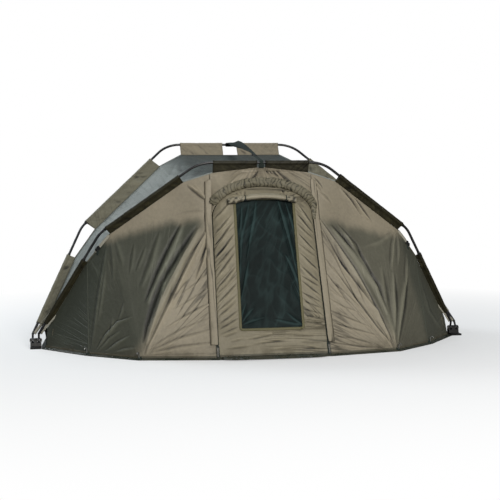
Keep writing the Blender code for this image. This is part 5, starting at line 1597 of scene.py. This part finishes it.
def build_sleeve(name, hoop, side, start, end, inward, width, material, seed, narrow=1.0,
                 close=0.0):
    """Loose cloth tunnel round a straight stretch of pole, with its flap to the canopy."""
    first, last = hoop.place(side, start), hoop.place(side, end)
    long = np.linalg.norm(last - first)
    path = resampled(np.array([first, last]), 0.0075)
    into = unit(hoop.place(side, start + inward) - first)
    face = unit(np.cross((last - first) / long, into))
    flat = sleeve_outline(width)
    away = unit(np.gradient(flat, axis=0))[:, ::-1] * (1, -1)
    away = away * np.sign((away * (flat - (0.01, 0.0))).sum(1, keepdims=True) + 1e-9)
    s, u = grid_of(lengths_along(path), flat[:, 0])
    layer = np.sign(flat[:, 1])[None, :]

    broad = bumps((s + layer * 0.9 * u) * 19, (u - layer * 0.4 * s) * 6 + seed, seed)
    sharp = np.sign(broad) * np.abs(broad) ** 0.8
    sharp = sharp + 0.6 * bumps((s + layer * 0.9 * u) * 43, u * 9, seed + 5)
    crumple = ridges(s * 26 + u * 20 * layer, u * 24 + seed, seed)
    # less wrinkling towards the flap's edge
    damp = ramp(width, width - 0.014, u) * 0.9 + 0.1
    loose = mix(0.35, 1.0, ramp(0.004, 0.022, u))
    ends = np.minimum(1.0, np.minimum(s, long - s) / 0.03)
    patch = 0.35 + 0.65 * ramp(-0.3, 0.6, bumps(s * 5, layer + 0 * s, seed + 3))
    height = (0.0036 * sharp * patch + 0.0024 * crumple) * damp * mix(0.5, 1.0, ends) * loose
    height = height * mix(0.1, 1.0, ramp(0.0, close + 1e-6, s))
    mouth_swell = 0.0015 * np.exp(-np.minimum(s + close, long - s) / 0.012)
    spread = flat + away * (height + mouth_swell * damp)[..., None]
    if close:
        # drawn in near the hub, where the two hoops' sleeves pass each other
        tight = mix(0.86, 1.0, ramp(0.0, close, s))
        spread[..., 0] = np.where(spread[..., 0] < 0, spread[..., 0] * tight, spread[..., 0])
        spread[..., 1] = spread[..., 1] * tight
    spread[..., 0] = np.minimum(spread[..., 0], width - 0.0005)
    flap = np.maximum(0.0, spread[..., 0] - SLEEVE_BULK)
    spread[..., 0] = spread[..., 0] - flap * (1 - mix(1.0, narrow, s / long))
    places = path[:, None] + into * spread[..., :1] + face * spread[..., 1:]
    grain = np.stack([s - 0.8 * layer * u, s * 0.8 + u, 0 * s + seed], -1)
    # wrinkle heights also give painted highlights on crests and painted shade in valleys
    obj = skin(name, places, wrap=True, ridge=fold_tone(height, 0.003), grain=grain)
    shell_of(obj, (first + last) / 2 + into * 0.005)
    dress(obj, material, hoop.body, [name.replace("_cloth", "")])


def build_hoop(hoop, material, crown_material):
    """Sleeves, elbow tubes, crown tube and edge bindings of one hoop."""
    label = hoop.label
    top = np.array((0.0, hoop.shoulder[1]))
    for i, (name, side) in enumerate(SIDES.items()):
        start = hoop.neck + hoop.leg_way * (SLEEVE_START - NECK_HEIGHT)
        seed = 10 * i + (3 if hoop is FRONT else 1)
        build_sleeve(f"{label}_leg_sleeve_{name}_cloth", hoop, side, start, hoop.leg_end,
                     hoop.leg_in, hoop.leg_sleeve, material, seed, close=0.14)
        build_sleeve(f"{label}_side_sleeve_{name}_cloth", hoop, side, hoop.side_start,
                     hoop.side_end, hoop.side_in, hoop.side_sleeve, material, seed + 1)
        build_sleeve(f"{label}_crown_sleeve_{name}_cloth", hoop, side, hoop.crown_start,
                     top + (hoop.gap / 2, 0.0), np.array((0.0, -1.0)), hoop.crown_sleeve,
                     crown_material, seed + 2, 0.37 if hoop is FRONT else 1.0)
        bend = round_corner(hoop.neck, hoop.elbow, hoop.shoulder, hoop.elbow_bend, 24)
        flat = np.concatenate([[hoop.leg_end], bend, [hoop.side_start]])
        build_tube(f"{label}_elbow_tube_{name}", hoop, side, flat, 0.010, f"{label}_elbow_{name}")
        joints = ((hoop.leg_end, hoop.leg_way), (hoop.side_start, hoop.side_way))
        for j, (spot, way) in enumerate(joints):
            foot, head = (hoop.place(side, spot + way * shift) for shift in (-0.014, 0.014))
            profile = [(0.0092, 0.0), (0.0104, 0.0008), (0.0104, 0.0272), (0.0092, 0.028)]
            collar = turned(f"{label}_collar_{name}_{j}", profile, foot, head - foot)
            dress(collar, PLASTIC, hoop.body)
    bend = round_corner(hoop.elbow, hoop.shoulder, top, hoop.shoulder_bend, 30)
    half = np.concatenate([[hoop.side_end], bend])
    flat = np.concatenate([half, half[::-1] * (-1, 1)])
    build_tube(f"{label}_crown_tube", hoop, 1, flat, 0.012, f"{label}_crown_pole")
    for name, side in SIDES.items():
        for tape, low in (("elbow_binding", 1.0), ("shoulder_binding", 3.0)):
            line = hoop.edge(side, np.linspace(low, low + 1.0, 40))
            ribbon(f"{label}_{tape}_{name}", tape, line, hoop.face(side), hoop.body)


def build_tube(name, hoop, side, flat, step, node):
    path = resampled(hoop.place(side, flat), step)
    pole = tube(name, path, POLE_RADIUS - 0.0002, up=(0.0, 1.0, 0.2))
    dress(pole, POLE, hoop.body, [node])


# Strap, pegs and hem

def build_ridge_strap():
    """Tension strap from the rear crown tube to the front one, with its buckle."""
    rear = REAR.place(1, np.array((0.0, REAR.shoulder[1])))
    front = FRONT.place(1, np.array((0.0, FRONT.shoulder[1])))
    run = unit(front - rear)
    sideways = np.array((1.0, 0.0, 0.0))
    up = unit(np.cross(sideways, run))
    up = up if up[2] > 0 else -up
    ring = POLE_RADIUS + 0.0035

    def hook(centre, start, end):
        turn = np.radians(np.linspace(start, end, 16))
        return centre + ring * (np.cos(turn)[:, None] * -run + np.sin(turn)[:, None] * up)

    share = np.linspace(0.02, 0.80, 60)[:, None]
    over = mix(rear + up * ring, front + up * ring, share)
    over = over + up * (STRAP_RISE * np.sin(math.pi * np.clip(share / 0.86, 0, 1)) ** 0.8)
    path = resampled(np.concatenate([hook(rear, -160, 80), over]), 0.008)
    lift = square_to(path, sideways, path - rear - run * 0.001)
    share = np.linspace(0, 1, len(path))
    twist = math.radians(STRAP_TWIST_DEG) * ramp(0.12, 0.34, share) * ramp(1.0, 0.70, share)
    lift = lift * np.cos(twist)[:, None] - sideways * np.sin(twist)[:, None]
    half = mix(0.027, 0.011, ramp(0.30, 1.0, share)) + 0.0015 * bumps(share * 12, 0 * share, 7)
    u = np.array([-1, -0.6, 0, 0.6, 1, 1, 0.6, 0, -0.6, -1])
    v = np.array([0, 0, 0, 0, 0, 1, 1, 1, 1, 1]) * STRAP_THICKNESS
    cup = 0.006 * np.sin(share * 5)[:, None] * u ** 2
    section = np.stack([half[:, None] * u, v - cup], -1)
    band = outward(sweep("ridge_band", path, section, lift))
    end = path[-1]
    low = resampled(np.concatenate([[end + run * 0.02], hook(front, 100, 340)]), 0.006)
    low_lift = unit(np.cross(np.gradient(low, axis=0), sideways))
    tail = strip("ridge_tail", low, low_lift, 0.024, 0.0022)
    dress(joined("ridge_band", [band, tail]), WEBBING, "strap", ["ridge_strap"])

    middle = end + up * 0.002
    parts = []
    for shift in (-0.012, 0.004, 0.020):
        across = np.linspace(-BUCKLE_HALF_WIDTH, BUCKLE_HALF_WIDTH, 10)[:, None] * sideways
        parts.append(tube("buckle_bar", middle + run * shift + across, 0.0032))
    for x in (-BUCKLE_HALF_WIDTH, BUCKLE_HALF_WIDTH):
        along = np.linspace(-0.014, 0.022, 8)[:, None] * run
        parts.append(tube("buckle_rail", middle + sideways * x + along, 0.0034))
    dress(joined("ridge_buckle", parts), PLASTIC, "strap")


def from_middle(spots):
    """Flat ways from the middle of the floor out to some places."""
    return unit(spots - FLOOR_MIDDLE)


def build_peg_loop(name, hem):
    """Webbing loop from the hem round a peg, and the eyelet that the peg goes through."""
    peg = hem + from_middle(hem) * SHEET_LIP / 2
    way = unit(peg - hem)
    across = np.array((-way[1], way[0]))
    turn = np.radians(np.linspace(-75, 75, 22))
    bow = peg + 0.008 * (np.outer(np.cos(turn), way) + np.outer(np.sin(turn), across))
    root = hem - way * 0.004
    flat = np.concatenate([[root - across * 0.007], bow, [root + across * 0.007]])
    heights = np.concatenate([[0.019], np.full(22, 0.0085), [0.019]])
    path = resampled(np.column_stack([flat, heights]), 0.003)
    outwards = np.column_stack([unit(path[:, :2] - hem + way * 1e-4), np.zeros(len(path))])
    ribbon(f"peg_loop_{name}", "peg_loop", path, outwards, "root")
    ring = [(0.0052, 0.0), (0.0085, 0.0002), (0.0090, 0.0009), (0.0080, 0.0015), (0.0052, 0.0012)]
    eyelet = turned(f"eyelet_{name}", ring + ring[:1], (*peg, 0.0042), (0, 0, 1))
    dress(eyelet, STEEL, "root")


def build_foot_tab(name, side, hoop):
    """Pale webbing tab from the canopy's foot down to the hub."""
    top = hoop.edge(side, 0.22)
    foot = hoop.place(side, np.array((hoop.neck[0] - 0.012, NECK_HEIGHT + 0.004)))
    out = np.array((side * 0.5, -0.85 if hoop is FRONT else 0.85, 0.1))
    line = resampled(np.array([top, mix(top, foot, 0.5) + out * 0.004, foot]), 0.006)
    ribbon(f"{hoop.label}_foot_tab_{name}", "foot_tab", line, out, hoop.body)


def build_elbow_strap(name, side):
    """Strap with a side-release clip, from the canopy's bare corner to the elbow."""
    low, high = FRONT.edge(side, 1.35), FRONT.edge(side, 1.95)
    out = np.array((side * 0.35, -0.92, 0.15))
    bow = [high + out * 0.003, mix(high, low, 0.5) + out * 0.010, low + out * 0.004]
    ribbon(f"elbow_strap_{name}", "elbow_strap", resampled(bow, 0.006), out, "front_hoop")
    spot = mix(high, low, 0.80) + out * 0.010
    line = spot + unit(low - high) * np.linspace(-0.018, 0.018, 12)[:, None]
    girth = 0.0145 * (1 - 0.25 * np.cos(np.linspace(0, 2 * math.pi, 12)) ** 2)
    clip = tube(f"elbow_clip_{name}", line, girth, up=out, squash=0.42)
    dress(clip, PLASTIC, "front_hoop")
    hang = spot + np.array([(0, 0, 0), (0, -0.006, -0.035), (side * -0.004, -0.002, -0.062)])
    ribbon(f"elbow_strap_end_{name}", "elbow_strap_end", resampled(hang, 0.005), out,
           "front_hoop")


def build_hem_fittings():
    """Webbing loops and eyelets at the pegs, tabs at the feet and straps at the elbows."""
    turn = math.radians(REAR_PEG_TURN_DEG)
    rear = np.array(((HUB_INNER_X - SHEET_LIP) * math.cos(turn) ** REAR_HEM_ROUNDNESS,
                     REAR_DEPTH * math.sin(turn) ** REAR_HEM_ROUNDNESS))
    for name, side in SIDES.items():
        for label, hem in (("inner", INNER_PEG[:2]), ("outer", OUTER_PEG[:2]), ("rear", rear)):
            build_peg_loop(f"{label}_{name}", hem * (side, 1))
        for hoop in (FRONT, REAR):
            build_foot_tab(name, side, hoop)
        build_elbow_strap(name, side)


def build_valance():
    """Dark lip of the ground sheet along the front hem."""
    right = [DOOR_FOOT, INNER_PEG, OUTER_PEG, HUB_FOOT]
    line = resampled([p * (-1, 1, 1) for p in right[::-1]] + right, 0.008)
    flat = line[:, :2]
    way = from_middle(flat)
    reach = lengths_along(line)
    wave = 0.5 * bumps(reach * 14, 0 * reach, 33) + 0.5 * bumps(reach * 33, 0 * reach, 34)
    wide = LIP_WIDTH + 0.007 * wave
    rows = []
    for t in np.linspace(0.0, 1.0, 12):
        xy = flat + way * (-0.006 + wide * t)[:, None]
        z = mix(0.016, 0.0052, t ** 0.7)
        z = z + 0.0045 * np.abs(wave) * math.sin(math.pi * min(1, t * 1.1))
        rows.append(np.column_stack([xy, z]))
    places = np.stack(rows, 1)
    plain_sheet("sheet_lip", places, GROUND, "root", "laid", ["ground_sheet"],
                ridge=np.tile(np.abs(wave)[:, None] * 0.5, (1, 12)))


def build_mud_flap():
    """Loose muddy flap on the ground before the door."""
    half = MUD_FLAP_HALF_WIDTH
    x, t = grid_of(np.linspace(-half, half, 130), np.linspace(0.0, 1.0, 26))
    length = MUD_FLAP_LENGTH * (1 - 0.35 * (np.abs(x) / half) ** 6)
    y = DOOR_FOOT[1] + 0.012 - length * t
    ripple = bumps(x * 16 + t * 1.2, t * 2.5, 35)
    folds = ridges(x * 9, t * 3 + x * 2, 36)
    swell = np.sin(math.pi * np.clip(t * 1.15 - 0.15, 0.0, 1.0))
    z = mix(0.010, 0.0048, np.minimum(1.0, t * 2.2) ** 0.8)
    z = z + (0.012 * np.abs(ripple) + 0.010 * folds) * swell
    plain_sheet("mud_flap", np.stack([x, y, z], -1), GROUND, "root", "laid", ["ground_sheet"],
                ridge=folds * 0.6)


def build_gussets():
    """Low cloth inside each hub that closes the canopy between the two hoops' feet."""
    share, lift = grid_of(np.linspace(0.0, 1.0, 40), np.linspace(0.0, 1.0, 22))
    for name, side in SIDES.items():
        ripple = 0.0035 * bumps(share * 4, lift * 1.5, 44 + side) * np.sin(math.pi * lift) ** 0.5
        x = mix(GUSSET_FOOT_X, GUSSET_TOP_X, lift) - 0.010 * np.sin(math.pi * share) + ripple
        y = mix(GUSSET_FRONT_Y, GUSSET_REAR_Y, share)
        z = mix(0.005, GUSSET_TOP_Z, lift)
        # ripples also give painted highlights on crests and painted shade in valleys
        plain_sheet(f"hub_gusset_{name}", np.stack([side * x, y, z], -1), PANEL, "root",
                    "stretched", ["ground_sheet"], ridge=fold_tone(ripple, 0.003))


# Stage

def floor_paint():
    """Pale floor: it fades to white away from the tent, and throws little light back."""
    paint = Paint("floor_paint", Specular_IOR_Level=0.0, Roughness=0.9)
    x, y = paint.split(paint.place)[:2]
    seen = paint.node("ShaderNodeLightPath")[0]
    paint.wear("Base Color", paint.mixed(seen, (0.30, 0.30, 0.30), (0.80, 0.80, 0.80)))
    away = (x ** 2 + (y - 0.3) ** 2) ** 0.5
    glow = paint.node("ShaderNodeEmission", None, {"Color": (1.0, 1.0, 1.0, 1.0)})[0]
    fade = (0.35 + away.bounded(1.6, 4.2) * 0.65) * seen
    body = Value(paint, paint.shader.outputs[0])
    shown = paint.node("ShaderNodeMixShader", None, {0: fade, 1: body, 2: glow})[0]
    paint.tree.links.new(shown.socket, paint.tree.nodes["Material Output"].inputs[0])
    return paint.material


def build_floor():
    floor = skin("floor", np.array([[(-60.0, -30.0, 0.0), (60.0, -30.0, 0.0)],
                                    [(-60.0, 90.0, 0.0), (60.0, 90.0, 0.0)]]))
    if floor.data.polygons[0].normal.z < 0:
        floor.data.flip_normals()
    painted(floor, floor_paint())


def build_lamps():
    """Soft studio lamps: name, place, size, power and colour."""
    lamps = (("key", (0.6, -9.2, 3.2), 3.0, 700.0, (1.0, 0.965, 0.920)),
             ("top", (0.0, 2.6, 7.0), 4.0, 120.0, (0.90, 0.96, 1.0)),
             ("side", (-5.0, 4.6, 5.5), 3.0, 300.0, (0.90, 0.96, 1.0)))
    for name, place, size, power, colour in lamps:
        light = bpy.data.lights.new(name, "AREA")
        light.shape = "DISK"
        light.size = size
        light.energy = power
        light.color = colour
        lamp = placed(name, light)
        lamp.location = place
        aim = Vector((0.0, 0.2, 0.5)) - Vector(place)
        lamp.rotation_euler = aim.to_track_quat("-Z", "Y").to_euler()


def build_world():
    """Soft sky light that the camera sees as white."""
    world = bpy.data.worlds.new("studio")
    world.use_nodes = True
    tree = world.node_tree
    way = add_node(tree, "ShaderNodeTexCoord")
    height = add_node(tree, "ShaderNodeSeparateXYZ", None, {0: way["Generated"]})
    sky = add_node(tree, "ShaderNodeMapRange", None, {
        "Value": height[2], "From Min": 0.05, "From Max": 0.90, "To Min": 0.06, "To Max": 0.42})
    soft = add_node(tree, "ShaderNodeBackground", None, {
        "Color": (0.86, 0.94, 1.0, 1.0), "Strength": sky[0]})
    white = add_node(tree, "ShaderNodeBackground", None, {"Color": (1.0, 1.0, 1.0, 1.0)})
    seen = add_node(tree, "ShaderNodeLightPath")
    either = add_node(tree, "ShaderNodeMixShader", None, {
        0: seen["Is Camera Ray"], 1: soft[0], 2: white[0]})
    tree.links.new(either[0], tree.nodes["World Output"].inputs[0])
    bpy.context.scene.world = world
    bpy.context.scene.view_settings.view_transform = "Standard"


def build_camera():
    """The photograph's camera, turned by its yaw, pitch and roll."""
    yaw, pitch, roll = CAMERA_YAW, CAMERA_PITCH, CAMERA_ROLL
    forward = Vector((math.sin(yaw) * math.cos(pitch), math.cos(yaw) * math.cos(pitch),
                      math.sin(pitch)))
    level = Vector((math.cos(yaw), -math.sin(yaw), 0.0))
    lift = level.cross(forward)
    right = level * math.cos(roll) + lift * math.sin(roll)
    up = lift * math.cos(roll) - level * math.sin(roll)
    view = bpy.data.cameras.new("view")
    view.sensor_width = SENSOR_WIDTH
    view.lens = FOCAL_PIXELS * SENSOR_WIDTH / FRAME_SIZE
    camera = placed("view", view)
    turn = Matrix((right, up, -forward)).transposed().to_4x4()
    camera.matrix_world = Matrix.Translation(CAMERA_PLACE) @ turn
    bpy.context.scene.camera = camera


def dress_frame():
    """Finishes for the frame's own nodes, by how their names start."""
    kinds = (("ground_sheet", GROUND), ("hub_pin", STEEL), ("hub", PLASTIC), ("peg", STEEL),
             ("zip_slider", DARK_ZINC), ("front_leg_left", POLE), ("front_leg_right", POLE),
             ("rear_leg_left", POLE), ("rear_leg_right", POLE), ("front_side_pole", POLE),
             ("rear_side_pole", POLE))
    for obj in bpy.context.scene.objects:
        if "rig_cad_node" not in obj:
            continue
        for start, material in kinds:
            if obj.name.startswith(start):
                painted(obj, material)
                break


def main():
    build_floor()
    build_lamps()
    build_world()
    build_camera()
    dress_frame()
    build_roof()
    build_rear_wall()
    build_vent()
    for name, side in SIDES.items():
        build_zip(name, side)
        build_wing(name, side)
    build_door()
    build_net()
    build_cover()
    build_header()
    build_hood()
    build_hoop(FRONT, FRONT_SLEEVE, FRONT_CROWN)
    build_hoop(REAR, REAR_SLEEVE, REAR_CROWN)
    build_ridge_strap()
    build_hem_fittings()
    build_gussets()
    build_valance()
    build_mud_flap()


main()
